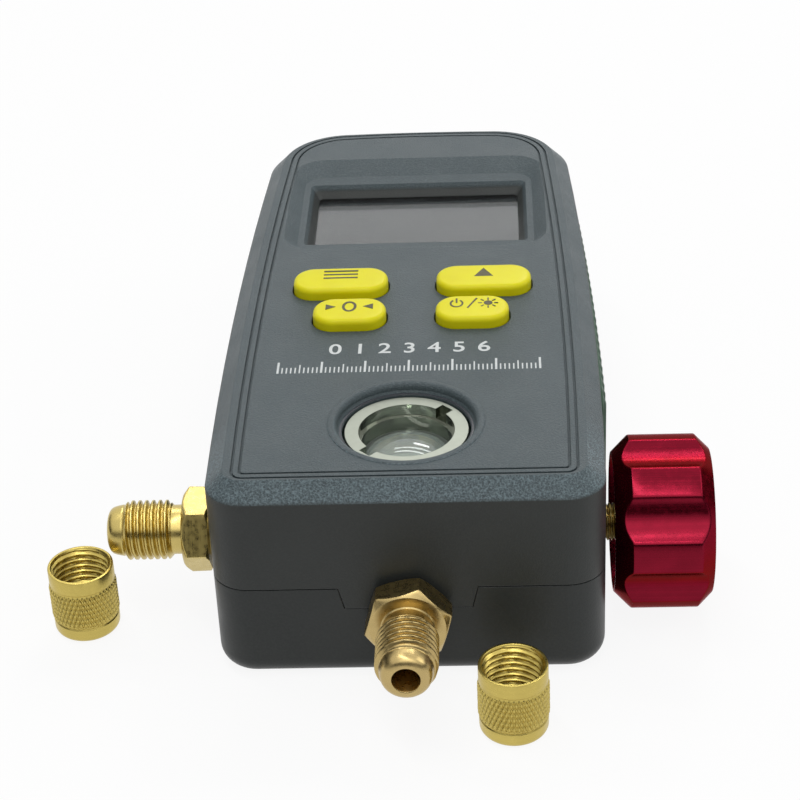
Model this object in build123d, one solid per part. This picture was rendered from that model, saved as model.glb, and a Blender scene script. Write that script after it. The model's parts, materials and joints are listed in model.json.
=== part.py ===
from build123d import *
import os
from math import cos, radians, sin, sqrt

# Digital refrigerant manifold gauge, lying on its back.
# Origin: centre of the flat back face.  X runs across the case, Y along it from the
# hose ports to the display, and Z up out of the face.  Millimetres.

# ---------------------------------------------------------------- driving dimensions
# Case
LENGTH = 147.0              # along Y
WIDTH = 71.0                # across the widest point of the bowed sides
HEIGHT = 41.0               # back face to front face
PARTING_Z = 19.8            # where the two shells meet
NEAR_NARROWING = 0.6        # each side, at the port end
FAR_NARROWING = 3.6         # each side, at the display end
FAR_BOW = 1.4               # the display end is curved by this much
WIDEST_FROM_PORTS = 58.0    # port end to the widest point
NEAR_CORNER = 7.0
FAR_CORNER = 17.0
WALL = 2.4
FACE_WALL = 2.4
FLOOR_WALL = 2.4
BEVEL = 3.2                 # around the front face
BACK_ROUND = 4.0            # around the back face
INNER_BEVEL = 2.2
SEAM_WIDTH = 0.25           # fine line where the shells meet
SEAM_DEPTH = 0.35
RIM_HEIGHT = 1.2            # tongue of the rear shell inside the front shell
RIM_THICKNESS = 1.0
RIM_CLEARANCE = 0.12
TAB_DROP = 4.4              # flap of the front shell over the front port
TAB_HALF_TOP = 12.35
TAB_HALF_BOTTOM = 11.3
TAB_CLEARANCE = 0.12
PANEL_SIDE = 4.7            # outer decorative line, from the side of the case
PANEL_END = 3.7             # outer decorative line, from the ends of the case
PANEL_BEAD = 1.4            # outer line to inner line
PANEL_LINE = 0.45
PANEL_LINE_DEPTH = 0.5

# Ports and valve
FRONT_AXIS_Z = PARTING_Z - TAB_DROP
SIDE_AXIS_Z = 17.0
SIDE_AXIS_FROM_END = 23.2
PORT_HOLE_R = 5.9           # holes in the case for the fittings
FLARE_R = 11.112 / 2        # 7/16 inch flare thread
FLARE_BORE_R = 2.4
FLARE_THREAD = 8.8
FLARE_NECK = 2.2
FLARE_NECK_R = 4.6
FLARE_NOSE = 3.3
FLARE_EDGE = 0.5            # lead-in at both ends of the thread
FLARE_TIP_R = 2.95
HEX_ACROSS_FLATS = 14.0
HEX_THICKNESS = 5.0
HEX_CHAMFER = 0.5
SHANK_R = 4.85
SHANK_CLEARANCE = 0.05
SHANK_DEPTH = 9.0           # thread of the left fitting inside the block
FRONT_SHANK_DEPTH = 5.0
SHANK_END_GAP = 0.2
FRONT_STANDOFF = 1.25       # case to hexagon
LEFT_STANDOFF = 1.7
FRONT_HEX_TURN = 14.0
LEFT_HEX_TURN = 24.0

# Manifold block
BLOCK_FROM_SIDE = 6.5       # side of the case to the end of the block
BLOCK_HALF_X = WIDTH / 2 - BLOCK_FROM_SIDE
BLOCK_FRONT_FROM_END = 12.0
BLOCK_DEPTH = 22.0
BLOCK_BOTTOM_Z = 6.4
BLOCK_TOP_Z = 27.0
BLOCK_CHAMFER = 0.8
PASSAGE_R = FLARE_BORE_R
CHAMBER_WALL = 1.0          # stem to valve chamber
SEAT_X = -9.0
BLOCK_FOOT_R = 3.6          # screw feet under the block
BLOCK_SCREW_X = 18.0

# Valve
STEM_R = 3.5                # M7 x 0.75
CHAMBER_R = STEM_R + CHAMBER_WALL
STEM_PITCH = 0.75
STEM_HOLE_MARGIN = 2.1      # room around the stem where it leaves the case
STEM_WAIST_R = STEM_R - 0.9
STEM_CLEARANCE = 0.05
PISTON_LENGTH = 7.0
PISTON_SEAL_R = CHAMBER_R - 1.2
PISTON_SEAL_THICKNESS = 1.2
VALVE_TURNS = 3
BONNET_DEPTH = 9.0
BONNET_R = STEM_R + 3.5
BONNET_FLANGE = 2.0
PACKING_R = STEM_R + 1.5
PACKING_LENGTH = 2.2
NUT_LENGTH = 3.0
KNOB_R = 16.0
KNOB_LENGTH = 17.9
KNOB_GAP = 1.6              # case side to knob when the valve is shut
KNOB_INNER_CHAMFER = 3.1
KNOB_OUTER_CHAMFER = 2.6
KNOB_LOBES = 7
KNOB_FLUTE_R = 9.5
KNOB_FLUTE_DEPTH = 1.5
KNOB_PHASE = 35.0           # first flute, up from the port side
KNOB_CUP_R = 12.4
KNOB_CUP_DEPTH = 9.0
KNOB_HUB_R = STEM_R + 2.1
KNOB_HUB_SET_BACK = 4.0
KNOB_DISH_R = 8.5
KNOB_DISH_DEPTH = 1.0
KNOB_SCREW_HEAD_R = 3.4
KNOB_SCREW_HEAD = 2.2
KNOB_SCREW_R = 1.5
KNOB_SCREW_LENGTH = 8.0
SPIGOT_LENGTH = 7.0
SPIGOT_FLAT = STEM_R - 1.1   # centre to the flats that drive the stem

# Pressure sensor in the back of the block
SENSOR_R = 6.0
SENSOR_SINK = 5.0
SENSOR_LENGTH = 11.0
SENSOR_X = 12.0

# Sight glass
SIGHT_FROM_END = 21.4
SIGHT_RECESS = 1.9          # face down to the ring
SIGHT_R = 11.4
SIGHT_GAP = 0.25            # ring to the hole in the face
SIGHT_HOLE_R = SIGHT_R + SIGHT_GAP
SIGHT_LIP = ((0.4, 1.7), (1.0, 0.8), (1.7, 0.0))    # beyond the hole, below the face
SIGHT_BORE_R = SIGHT_R - 2.7
SIGHT_RING_EDGE = 0.25
SIGHT_STEP = 0.4            # narrower foot of the ring's bore
SIGHT_STEP_DEPTH = 2.4
SIGHT_THREAD_R = SIGHT_R - 1.5
SIGHT_FLANGE = 3.1
SIGHT_SKIRT = 2.2
LENS_THICKNESS = 2.8
LENS_DOME_R = SIGHT_BORE_R - SIGHT_STEP - 0.1
LENS_DOME = 2.6
LENS_CLEARANCE = 0.08
SIGHT_SEAL = 1.0
SIGHT_WINDOW_R = SIGHT_R - 4.8
SIGHT_SEAL_INSET = 0.4
SIGHT_SPIGOT_R = SIGHT_R - 3.4
SIGHT_SPIGOT = 3.0
NOTCH_WIDTH = 2.7
NOTCH_OUTER_R = SIGHT_R - 1.0
NOTCH_DEPTH = 2.2
NOTCH_TURN = 45.0

# Display
DISH_SIDE = 8.2             # side of the case to the dish
DISH_HALF_X = WIDTH / 2 - DISH_SIDE
DISH_FAR = LENGTH - 16.4     # distances from the port end
DISH_NEAR = DISH_FAR - 42.6
DISH_CORNER = 7.0
DISH_DEPTH = 2.2
DISH_SLOPE_X = 2.6
DISH_SLOPE_NEAR = 3.0
DISH_SLOPE_FAR = 4.4
DISPLAY_IN_DISH = (3.9, 6.4, 8.2)    # margins at the sides, near and far
DISPLAY_HALF_X = DISH_HALF_X - DISPLAY_IN_DISH[0]
DISPLAY_NEAR = DISH_NEAR + DISPLAY_IN_DISH[1]
DISPLAY_FAR = DISH_FAR - DISPLAY_IN_DISH[2]
DISPLAY_CORNER = 1.0
WELL_DEPTH = 2.6
WELL_SLOPE = 1.8
WINDOW_SEAT = 1.6           # ledge of the shell that carries the window
WINDOW_THICKNESS = 1.2
WINDOW_MARGIN = 2.0
LCD_THICKNESS = 2.2
LCD_MARGIN = 1.2
BACKLIGHT_THICKNESS = 2.6
BACKLIGHT_INSET = 4.0
STRIP_WIDTH = 2.0
FRAME_WALL = 1.2
STACK_GAP = 0.1

# Keys
KEY_ROWS = (71.5, 59.0)     # from the port end: upper row, lower row
KEY_WIDTHS = (18.75, 14.2)
KEY_INNER_EDGE = 4.8        # centre line to the near side of each key
KEY_LENGTH = 9.4
KEY_CORNER = 4.2
KEY_PROUD = 2.4
KEY_EDGE = 0.9
KEY_CLEARANCE = 0.3
KEY_FLANGE = 1.2
KEY_FLANGE_THICKNESS = 0.8
KEY_TRAVEL = 0.8
KEY_POST_R = 2.6
KEY_WEB_GAP = 0.1
MAT_THICKNESS = 0.8
MAT_HOLE_R = 3.6
MAT_MARGIN = 4.0

# Circuit board
BOARD_TOP_Z = 29.0
BOARD_THICKNESS = 1.6
BOARD_HALF_X = WIDTH / 2 - 7.0
BOARD_NEAR = 38.0
BOARD_FAR = LENGTH - 17.5
BOARD_CORNER = 9.0
BOARD_BOSS_R = 3.0
# Board and case screws: half their spacing, and how far they are from the port end.
BOARD_BOSSES = ((BOARD_HALF_X - 2.5, 46.0), (BOARD_HALF_X - 8.5, BOARD_FAR - 3.0))
BOARD_CHIPS = (             # X, distance from the board's near edge, size X, Y, Z
    (0.0, 36.0, 12.0, 12.0, 1.6),
    (-14.0, 40.0, 5.0, 12.0, 3.2),
    (0.0, 3.0, 10.0, 5.0, 5.0),
)
BUZZER = (14.5, 24.0, 4.5, 4.0)     # X, distance from the board's near edge, radius, height
PILOT_R = 1.05
SMALL_SCREW_R = 1.0
SMALL_HEAD_R = 2.0
SMALL_HEAD = 1.4
SMALL_SCREW_LENGTH = 7.0
SMALL_SCREW_CLEARANCE = 0.2

# Case screws
BOSS_R = 3.6
SCREW_R = 1.5
SCREW_HEAD_R = 2.8
SCREW_HEAD = 2.2
SCREW_LENGTH = 22.0
SCREW_SINK = 9.0            # depth of the counterbore in the back
SCREW_CLEARANCE = 0.05
SCREW_BOSSES = ((WIDTH / 2 - 8.5, 7.6), (WIDTH / 2 - 12.0, LENGTH - 13.0))

# Batteries
CELL_R = 7.25
CELL_LENGTH = 50.5
CELL_BUTTON_R = 2.6
CELL_BUTTON = 1.2
CELL_GAP = 0.4
CELL_SPRING_ROOM = 4.0
BAY_NEAR = 58.0             # from the port end
BAY_WALL = 1.6
DOOR_THICKNESS = 1.8
DOOR_CLEARANCE = 0.2
DOOR_LEDGE = 2.0
DOOR_EAR = 9.0
DOOR_EAR_R = 4.5
DOOR_GROOVES = 5            # finger grooves across the far half of the door
DOOR_GROOVE_FROM_END = 8.0
DOOR_GROOVE_PITCH = 2.6
DOOR_GROOVE_WIDTH = 1.2
DOOR_GROOVE_HALF_X = 9.0
DOOR_GROOVE_DEPTH = 0.5
CONTACT_WIDTH = 9.0
CONTACT_THICKNESS = 0.4

# Side grips
GRIP_NEAR = 42.0            # from the port end
GRIP_FAR = LENGTH - 21.0
GRIP_BOTTOM_Z = 8.0
GRIP_TOP_Z = 32.0
GRIP_SEAT = 1.0             # recess in the shells
GRIP_PROUD = 0.9
GRIP_CLEARANCE = 0.06
GRIP_CORNER = 5.0
RIB_PITCH = 3.2
RIB_FOOT = 1.1              # half widths of a rib
RIB_CREST = 0.45
RIB_PROUD = 0.7
RIB_END_MARGIN = 2.2

# Flare caps, lying open side up beside the case
CAP_R = 6.3
CAP_HEIGHT = 13.8
CAP_BORE_R = FLARE_R - 0.556
CAP_FLOOR = 2.0
CAP_DRILL_POINT = 1.6
CAP_BAND = 3.2              # plain bands at the rim and the foot
CAP_BAND_STEP = 0.2
CAP_EDGE = 1.4
CAP_MOUTH = 0.6
CAP_PLACES = {"left_flare_cap": (-61.5, 16.9), "front_flare_cap": (18.2, -14.4)}    # Y from the port end

# ---------------------------------------------------------------- derived places
NEAR = -LENGTH / 2
FAR = LENGTH / 2
SIDE_Y = NEAR + SIDE_AXIS_FROM_END
SIGHT_Y = NEAR + SIGHT_FROM_END
CEILING_Z = HEIGHT - FACE_WALL
DISH_Z = HEIGHT - DISH_DEPTH
WELL_Z = DISH_Z - WELL_DEPTH
BOARD_BOTTOM_Z = BOARD_TOP_Z - BOARD_THICKNESS
LOW = (Align.CENTER, Align.CENTER, Align.MIN)


# ---------------------------------------------------------------- small helpers
def rod_z(radius, z0, z1, x=0.0, y=0.0):
    return Pos(x, y, z0) * Cylinder(radius, z1 - z0, align=LOW)


def rod_x(radius, x0, x1, y, z):
    return Pos(x0, y, z) * Rot(0, 90, 0) * Cylinder(radius, x1 - x0, align=LOW)


def rod_y(radius, y0, y1, x, z):
    return Pos(x, y0, z) * Rot(-90, 0, 0) * Cylinder(radius, y1 - y0, align=LOW)


def slab(x0, x1, y0, y1, z0, z1):
    return Pos(x0, y0, z0) * Box(x1 - x0, y1 - y0, z1 - z0, align=(Align.MIN, Align.MIN, Align.MIN))


def plate(half_x, y0, y1, z0, z1, corner):
    """A flat plate with rounded plan corners, centred on X = 0."""
    outline = Pos(0, (y0 + y1) / 2, z0) * RectangleRounded(2 * half_x, y1 - y0, corner)
    return extrude(outline, z1 - z0)


def turned(profile, axis=Axis.Z):
    """Revolve (radius, height) points about Z."""
    face = make_face(Polyline(*[(r, 0, h) for r, h in profile], close=True))
    return revolve(face, axis)


def mirrored(points):
    return [(side * x, y) for x, y in points for side in (-1, 1)]


def side_half_width(y, inset=0.0):
    """Half width of the case at a given Y, on the bow that its long sides follow."""
    y1, y2, y3 = NEAR, NEAR + WIDEST_FROM_PORTS, FAR
    x1, x2, x3 = WIDTH / 2 - NEAR_NARROWING, WIDTH / 2, WIDTH / 2 - FAR_NARROWING
    a = x1 * (y2 - y3) - y1 * (x2 - x3) + x2 * y3 - x3 * y2
    b = (x1**2 + y1**2) * (y3 - y2) + (x2**2 + y2**2) * (y1 - y3) + (x3**2 + y3**2) * (y2 - y1)
    c = (x1**2 + y1**2) * (x2 - x3) + (x2**2 + y2**2) * (x3 - x1) + (x3**2 + y3**2) * (x1 - x2)
    centre_x, centre_y = -b / (2 * a), -c / (2 * a)
    radius = sqrt((x1 - centre_x)**2 + (y1 - centre_y)**2) - inset
    return centre_x + sqrt(radius**2 - (y - centre_y)**2)


def case_outline(side=0.0, end=None):
    """Plan outline of the case as a face, moved in from its long sides and its ends."""
    end = side if end is None else end
    near, far, middle = NEAR + end, FAR - end, NEAR + WIDEST_FROM_PORTS
    near_x, far_x = side_half_width(near, side), side_half_width(far - FAR_BOW, side)
    middle_x = side_half_width(middle, side)
    outline = make_face(Curve() + [
        Line((-near_x, near), (near_x, near)),
        ThreePointArc((near_x, near), (middle_x, middle), (far_x, far - FAR_BOW)),
        ThreePointArc((far_x, far - FAR_BOW), (0, far), (-far_x, far - FAR_BOW)),
        ThreePointArc((-far_x, far - FAR_BOW), (-middle_x, middle), (-near_x, near)),
    ])
    outline = fillet(outline.vertices().group_by(Axis.Y)[0], max(NEAR_CORNER - side, 0.6))
    return fillet(outline.vertices().group_by(Axis.Y)[-1], max(FAR_CORNER - side, 0.6))


def case_ring(outer, inner, z0, z1):
    """A wall that follows the case outline, between two insets."""
    return Pos(0, 0, z0) * extrude(case_outline(outer) - case_outline(inner), z1 - z0)


def tab_prism(clearance=0.0):
    """The flap of the front shell that closes over the front port."""
    low = PARTING_Z - TAB_DROP - clearance
    points = [
        (-TAB_HALF_TOP - clearance, PARTING_Z),
        (-TAB_HALF_BOTTOM - clearance, low),
        (TAB_HALF_BOTTOM + clearance, low),
        (TAB_HALF_TOP + clearance, PARTING_Z),
    ]
    face = make_face(Polyline(*[(x, NEAR, z) for x, z in points], close=True))
    return extrude(face, WALL, dir=(0, 1, 0))


def port_holes():
    front = rod_y(PORT_HOLE_R, NEAR - 1, NEAR + WALL + 1, 0, FRONT_AXIS_Z)
    left = rod_x(PORT_HOLE_R, -WIDTH / 2 - 1, -WIDTH / 2 + 2 * WALL, SIDE_Y, SIDE_AXIS_Z)
    right = rod_x(STEM_R + STEM_HOLE_MARGIN, WIDTH / 2 - 2 * WALL, WIDTH / 2 + 1, SIDE_Y, SIDE_AXIS_Z)
    return front + left + right


def seam_groove():
    return case_ring(-1.0, SEAM_DEPTH, PARTING_Z - SEAM_WIDTH, PARTING_Z)


def grip_window(side, near, far, low, high, corner):
    """A block with rounded corners in side view, used to trim what follows the case side."""
    size = RectangleRounded(far - near, high - low, corner)
    face = Plane((0, (near + far) / 2, (low + high) / 2), x_dir=(0, 1, 0), z_dir=(side, 0, 0)) * size
    return extrude(face, WIDTH)


def grip_recess(side):
    room = case_ring(-2.0, GRIP_SEAT, GRIP_BOTTOM_Z, GRIP_TOP_Z)
    return room & grip_window(
        side, NEAR + GRIP_NEAR, NEAR + GRIP_FAR, GRIP_BOTTOM_Z, GRIP_TOP_Z, GRIP_CORNER)


# ---------------------------------------------------------------- case
def panel_line(side, end):
    outer = case_outline(side, end)
    inner = case_outline(side + PANEL_LINE, end + PANEL_LINE)
    return Pos(0, 0, HEIGHT - PANEL_LINE_DEPTH) * extrude(outer - inner, PANEL_LINE_DEPTH + 1)


def display_dish():
    top = Pos(0, NEAR + (DISH_NEAR + DISH_FAR) / 2, HEIGHT + 0.01) * RectangleRounded(
        2 * DISH_HALF_X, DISH_FAR - DISH_NEAR, DISH_CORNER)
    near, far = DISH_NEAR + DISH_SLOPE_NEAR, DISH_FAR - DISH_SLOPE_FAR
    floor = Pos(0, NEAR + (near + far) / 2, DISH_Z) * RectangleRounded(
        2 * (DISH_HALF_X - DISH_SLOPE_X), far - near, DISH_CORNER - DISH_SLOPE_X)
    return loft([floor, top])


def display_well():
    middle = NEAR + (DISPLAY_NEAR + DISPLAY_FAR) / 2
    length = DISPLAY_FAR - DISPLAY_NEAR
    top = Pos(0, middle, DISH_Z + 0.01) * RectangleRounded(
        2 * DISPLAY_HALF_X, length, DISPLAY_CORNER)
    low = Pos(0, middle, WELL_Z) * RectangleRounded(
        2 * (DISPLAY_HALF_X - WELL_SLOPE), length - 2 * WELL_SLOPE, DISPLAY_CORNER)
    return loft([low, top])


def key_sites():
    """Name, centre X, centre Y and width of each key."""
    sites = []
    for row, from_end, width in zip(("upper", "lower"), KEY_ROWS, KEY_WIDTHS):
        for hand, side in (("left", -1), ("right", 1)):
            sites.append((f"key_{row}_{hand}", side * (KEY_INNER_EDGE + width / 2), NEAR + from_end, width))
    return sites


def key_prism(x, y, width, grow, z0, z1):
    outline = Pos(x, y, z0) * RectangleRounded(width + 2 * grow, KEY_LENGTH + 2 * grow, KEY_CORNER + grow)
    return extrude(outline, z1 - z0)


def front_shell():
    body = Pos(0, 0, PARTING_Z) * extrude(case_outline(), HEIGHT - PARTING_Z)
    body = chamfer(body.edges().group_by(Axis.Z)[-1], BEVEL)
    room = Pos(0, 0, PARTING_Z) * extrude(case_outline(WALL), CEILING_Z - PARTING_Z)
    room = chamfer(room.edges().group_by(Axis.Z)[-1], INNER_BEVEL)
    # thick pad that carries the display well, and the raised rib around its window
    pad = plate(DISPLAY_HALF_X + 2 * WINDOW_MARGIN, NEAR + DISPLAY_NEAR - 2 * WINDOW_MARGIN,
                NEAR + DISPLAY_FAR + 2 * WINDOW_MARGIN, WELL_Z - WINDOW_THICKNESS, CEILING_Z, WINDOW_MARGIN)
    seat = plate(DISPLAY_HALF_X - WELL_SLOPE + WINDOW_MARGIN,
                 NEAR + DISPLAY_NEAR + WELL_SLOPE - WINDOW_MARGIN,
                 NEAR + DISPLAY_FAR - WELL_SLOPE + WINDOW_MARGIN,
                 WELL_Z - WINDOW_THICKNESS - 1, WELL_Z, DISPLAY_CORNER)
    body = body - room + (pad & room) - seat
    for x, from_end in mirrored(SCREW_BOSSES):
        body += rod_z(BOSS_R, PARTING_Z, CEILING_Z + FACE_WALL / 2, x, NEAR + from_end)
        hole_end = SCREW_SINK + SCREW_LENGTH + 1
        body -= rod_z(SCREW_R + SCREW_CLEARANCE, PARTING_Z - 1, hole_end, x, NEAR + from_end)
    for x, from_end in mirrored(BOARD_BOSSES):
        body += rod_z(BOARD_BOSS_R, BOARD_TOP_Z, CEILING_Z + FACE_WALL / 2, x, NEAR + from_end)
        body -= rod_z(PILOT_R, BOARD_TOP_Z - 1, BOARD_TOP_Z + SMALL_SCREW_LENGTH, x, NEAR + from_end)
    body += tab_prism()
    body -= display_dish()
    body -= display_well()
    body -= panel_line(PANEL_SIDE, PANEL_END)
    body -= panel_line(PANEL_SIDE + PANEL_BEAD, PANEL_END + PANEL_BEAD)
    body -= rod_z(SIGHT_HOLE_R, CEILING_Z - WELL_DEPTH, HEIGHT + 1, 0, SIGHT_Y)
    lip = [(SIGHT_HOLE_R + beyond, HEIGHT - depth) for beyond, depth in SIGHT_LIP]
    top = HEIGHT + 1
    body -= turned([(0, lip[0][1]), *lip, (lip[-1][0], top), (0, top)]).moved(Pos(0, SIGHT_Y, 0))
    for _, x, y, width in key_sites():
        body -= key_prism(x, y, width, KEY_CLEARANCE, CEILING_Z - 1, HEIGHT + 1)
    body -= case_ring(WALL - RIM_THICKNESS - RIM_CLEARANCE, WALL + 1,
                      PARTING_Z - TAB_DROP - 1, PARTING_Z + RIM_HEIGHT + RIM_CLEARANCE) - slab(
        -TAB_HALF_TOP, TAB_HALF_TOP, NEAR - 1, NEAR + WALL + 1, 0, HEIGHT)
    body -= port_holes()
    for side in (-1, 1):
        body -= grip_recess(side)
    return body


def bay_walls():
    """Half width and far end of the battery bay."""
    half = 2 * CELL_R + CELL_GAP * 1.5
    far = BAY_NEAR + CELL_LENGTH + CELL_BUTTON + CELL_SPRING_ROOM
    return half, NEAR + BAY_NEAR, NEAR + far, FLOOR_WALL + 2 * CELL_R + CELL_GAP


def door_ear(radius, z0, z1):
    """A round prism about the door's screw."""
    return rod_z(radius, z0, z1, 0, NEAR + BAY_NEAR - DOOR_EAR + DOOR_EAR_R)


def door_outline(grow, z0, z1):
    half, near, far, _ = bay_walls()
    body = plate(half + DOOR_LEDGE + grow, near - DOOR_LEDGE - grow, far + DOOR_LEDGE + grow, z0, z1, 2.0)
    return body + door_ear(DOOR_EAR_R + grow, z0, z1)


def rear_shell():
    body = extrude(case_outline(), PARTING_Z)
    body = fillet(body.edges().group_by(Axis.Z)[0], BACK_ROUND)
    room = Pos(0, 0, FLOOR_WALL) * extrude(case_outline(WALL), PARTING_Z)
    room = chamfer(room.edges().group_by(Axis.Z)[0], INNER_BEVEL)
    body -= room
    body += case_ring(WALL - RIM_THICKNESS, WALL, PARTING_Z - RIM_HEIGHT, PARTING_Z + RIM_HEIGHT)
    # battery bay, open towards the back
    half, near, far, top = bay_walls()
    outer = slab(-half - BAY_WALL, half + BAY_WALL, near - BAY_WALL, far + BAY_WALL,
                 FLOOR_WALL / 2, top + BAY_WALL)
    body += outer
    body += door_ear(DOOR_EAR_R - 1, FLOOR_WALL / 2, FLOOR_WALL + SMALL_SCREW_LENGTH)
    body -= slab(-half, half, near, far, -1, top)
    body -= door_outline(DOOR_CLEARANCE, -1, DOOR_THICKNESS)
    body -= door_ear(PILOT_R, 0, FLOOR_WALL + SMALL_SCREW_LENGTH - 1)
    for x, from_end in mirrored(SCREW_BOSSES):
        y = NEAR + from_end
        body += rod_z(BOSS_R, FLOOR_WALL / 2, PARTING_Z, x, y)
        body -= rod_z(SCREW_HEAD_R + 0.2, -1, SCREW_SINK, x, y)
        body -= rod_z(SCREW_R + SCREW_CLEARANCE, 0, PARTING_Z + 1, x, y)
    for side in (-1, 1):
        x = side * BLOCK_SCREW_X
        y = NEAR + BLOCK_FRONT_FROM_END + BLOCK_DEPTH / 2
        body += rod_z(BLOCK_FOOT_R, FLOOR_WALL / 2, BLOCK_BOTTOM_Z, x, y)
        body -= rod_z(SCREW_HEAD_R + 0.2, -1, SCREW_HEAD, x, y)
        body -= rod_z(SCREW_R + SCREW_CLEARANCE, 0, BLOCK_BOTTOM_Z + 1, x, y)
        body -= grip_recess(side)
    body -= tab_prism(TAB_CLEARANCE) + slab(
        -TAB_HALF_TOP - TAB_CLEARANCE, TAB_HALF_TOP + TAB_CLEARANCE, NEAR - 1, NEAR + WALL + 0.5,
        PARTING_Z, PARTING_Z + RIM_HEIGHT + 1)
    body -= seam_groove()
    body -= port_holes()
    return body


def rib(side, x, y, z0, z1):
    """One upright bar of the grip, with sloping flanks."""
    root, crest = x - GRIP_PROUD / 2, x + RIB_PROUD
    outline = [(root, -RIB_FOOT), (x, -RIB_FOOT), (crest, -RIB_CREST),
               (crest, RIB_CREST), (x, RIB_FOOT), (root, RIB_FOOT)]
    face = make_face(Polyline(*[(side * a, b) for a, b in outline], close=True))
    return Pos(0, y, z0) * extrude(face, z1 - z0)


def side_grip(side):
    """Ribbed rubber strip that lies in a recess of both shells."""
    near, far = NEAR + GRIP_NEAR + GRIP_CLEARANCE, NEAR + GRIP_FAR - GRIP_CLEARANCE
    low, high = GRIP_BOTTOM_Z + GRIP_CLEARANCE, GRIP_TOP_Z - GRIP_CLEARANCE
    strip = case_ring(-GRIP_PROUD, GRIP_SEAT - GRIP_CLEARANCE, low, high)
    strip &= grip_window(side, near, far, low, high, GRIP_CORNER)
    count = int((far - near - 2 * RIB_END_MARGIN) / RIB_PITCH)
    start = (near + far) / 2 - count * RIB_PITCH / 2
    for index in range(count + 1):
        y = start + index * RIB_PITCH
        x = side_half_width(y) + GRIP_PROUD
        strip += rib(side, x, y, low + RIB_END_MARGIN, high - RIB_END_MARGIN)
    return strip


def case_screws():
    """Four pan head screws that join the shells from the back."""
    return Compound(children=[
        rod_z(SCREW_HEAD_R, SCREW_SINK - SCREW_HEAD, SCREW_SINK, x, NEAR + from_end)
        + rod_z(SCREW_R, SCREW_SINK - 0.1, SCREW_SINK + SCREW_LENGTH, x, NEAR + from_end)
        for x, from_end in mirrored(SCREW_BOSSES)])


def battery_door():
    body = door_outline(0.0, 0.0, DOOR_THICKNESS)
    body -= door_ear(SMALL_SCREW_R + SMALL_SCREW_CLEARANCE, -1, DOOR_THICKNESS + 1)
    body -= door_ear(SMALL_HEAD_R + 0.15, -1, SMALL_HEAD)
    _, _, far, _ = bay_walls()
    for index in range(DOOR_GROOVES):
        y = far - DOOR_GROOVE_FROM_END - DOOR_GROOVE_PITCH * index
        body -= slab(-DOOR_GROOVE_HALF_X, DOOR_GROOVE_HALF_X,
                     y - DOOR_GROOVE_WIDTH / 2, y + DOOR_GROOVE_WIDTH / 2, -1, DOOR_GROOVE_DEPTH)
    return body


def battery_door_screw():
    head = door_ear(SMALL_HEAD_R, 0.1, SMALL_HEAD)
    return head + door_ear(SMALL_SCREW_R, SMALL_HEAD - 0.1, SMALL_SCREW_LENGTH)


# ---------------------------------------------------------------- display and keys
def lcd_window():
    return plate(DISPLAY_HALF_X - WELL_SLOPE + WINDOW_MARGIN - STACK_GAP,
                 NEAR + DISPLAY_NEAR + WELL_SLOPE - WINDOW_MARGIN + STACK_GAP,
                 NEAR + DISPLAY_FAR - WELL_SLOPE + WINDOW_MARGIN - STACK_GAP,
                 WELL_Z - WINDOW_THICKNESS, WELL_Z, DISPLAY_CORNER)


def lcd_span(margin):
    """Half width, near and far edges of a layer of the display."""
    return (DISPLAY_HALF_X - WELL_SLOPE + margin,
            NEAR + DISPLAY_NEAR + WELL_SLOPE - margin, NEAR + DISPLAY_FAR - WELL_SLOPE + margin)


LCD_TOP_Z = WELL_Z - WINDOW_THICKNESS - STACK_GAP
LCD_BOTTOM_Z = LCD_TOP_Z - LCD_THICKNESS


def lcd_panel():
    half, near, far = lcd_span(LCD_MARGIN)
    return slab(-half, half, near, far, LCD_BOTTOM_Z, LCD_TOP_Z)


def lcd_frame():
    """Moulded frame that stands on the board and holds the glass and the backlight."""
    half, near, far = lcd_span(LCD_MARGIN)
    gap = STACK_GAP
    outer = slab(-half - FRAME_WALL, half + FRAME_WALL, near - FRAME_WALL, far + FRAME_WALL,
                 BOARD_TOP_Z, LCD_TOP_Z)
    return outer - slab(-half - gap, half + gap, near - gap, far + gap, BOARD_TOP_Z - 1, LCD_TOP_Z + 1)


def backlight():
    half, near, far = lcd_span(LCD_MARGIN)
    return slab(-half + BACKLIGHT_INSET, half - BACKLIGHT_INSET,
                near + BACKLIGHT_INSET, far - BACKLIGHT_INSET, BOARD_TOP_Z, LCD_BOTTOM_Z)


def elastomer_strips():
    half, near, far = lcd_span(LCD_MARGIN)
    strips = []
    for y in (near + STACK_GAP, far - STACK_GAP - STRIP_WIDTH):
        strips.append(slab(-half + BACKLIGHT_INSET, half - BACKLIGHT_INSET, y, y + STRIP_WIDTH,
                           BOARD_TOP_Z, LCD_BOTTOM_Z))
    return Compound(children=strips)


def circuit_board():
    near, far = NEAR + BOARD_NEAR, NEAR + BOARD_FAR
    board = plate(BOARD_HALF_X, near, far, BOARD_BOTTOM_Z, BOARD_TOP_Z, BOARD_CORNER)
    for x, from_end in mirrored(BOARD_BOSSES):
        board -= rod_z(SMALL_SCREW_R + SMALL_SCREW_CLEARANCE, BOARD_BOTTOM_Z - 1, BOARD_TOP_Z + 1,
                       x, NEAR + from_end)
    return board


def board_components():
    """Processor, crystal can, sensor plug and buzzer on the lower side of the board."""
    start, under = NEAR + BOARD_NEAR, BOARD_BOTTOM_Z
    chips = [
        slab(x - size_x / 2, x + size_x / 2, start + y, start + y + size_y, under - size_z, under)
        for x, y, size_x, size_y, size_z in BOARD_CHIPS]
    x, y, radius, height = BUZZER
    return Compound(children=chips + [rod_z(radius, under - height, under, x, start + y)])


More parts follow.
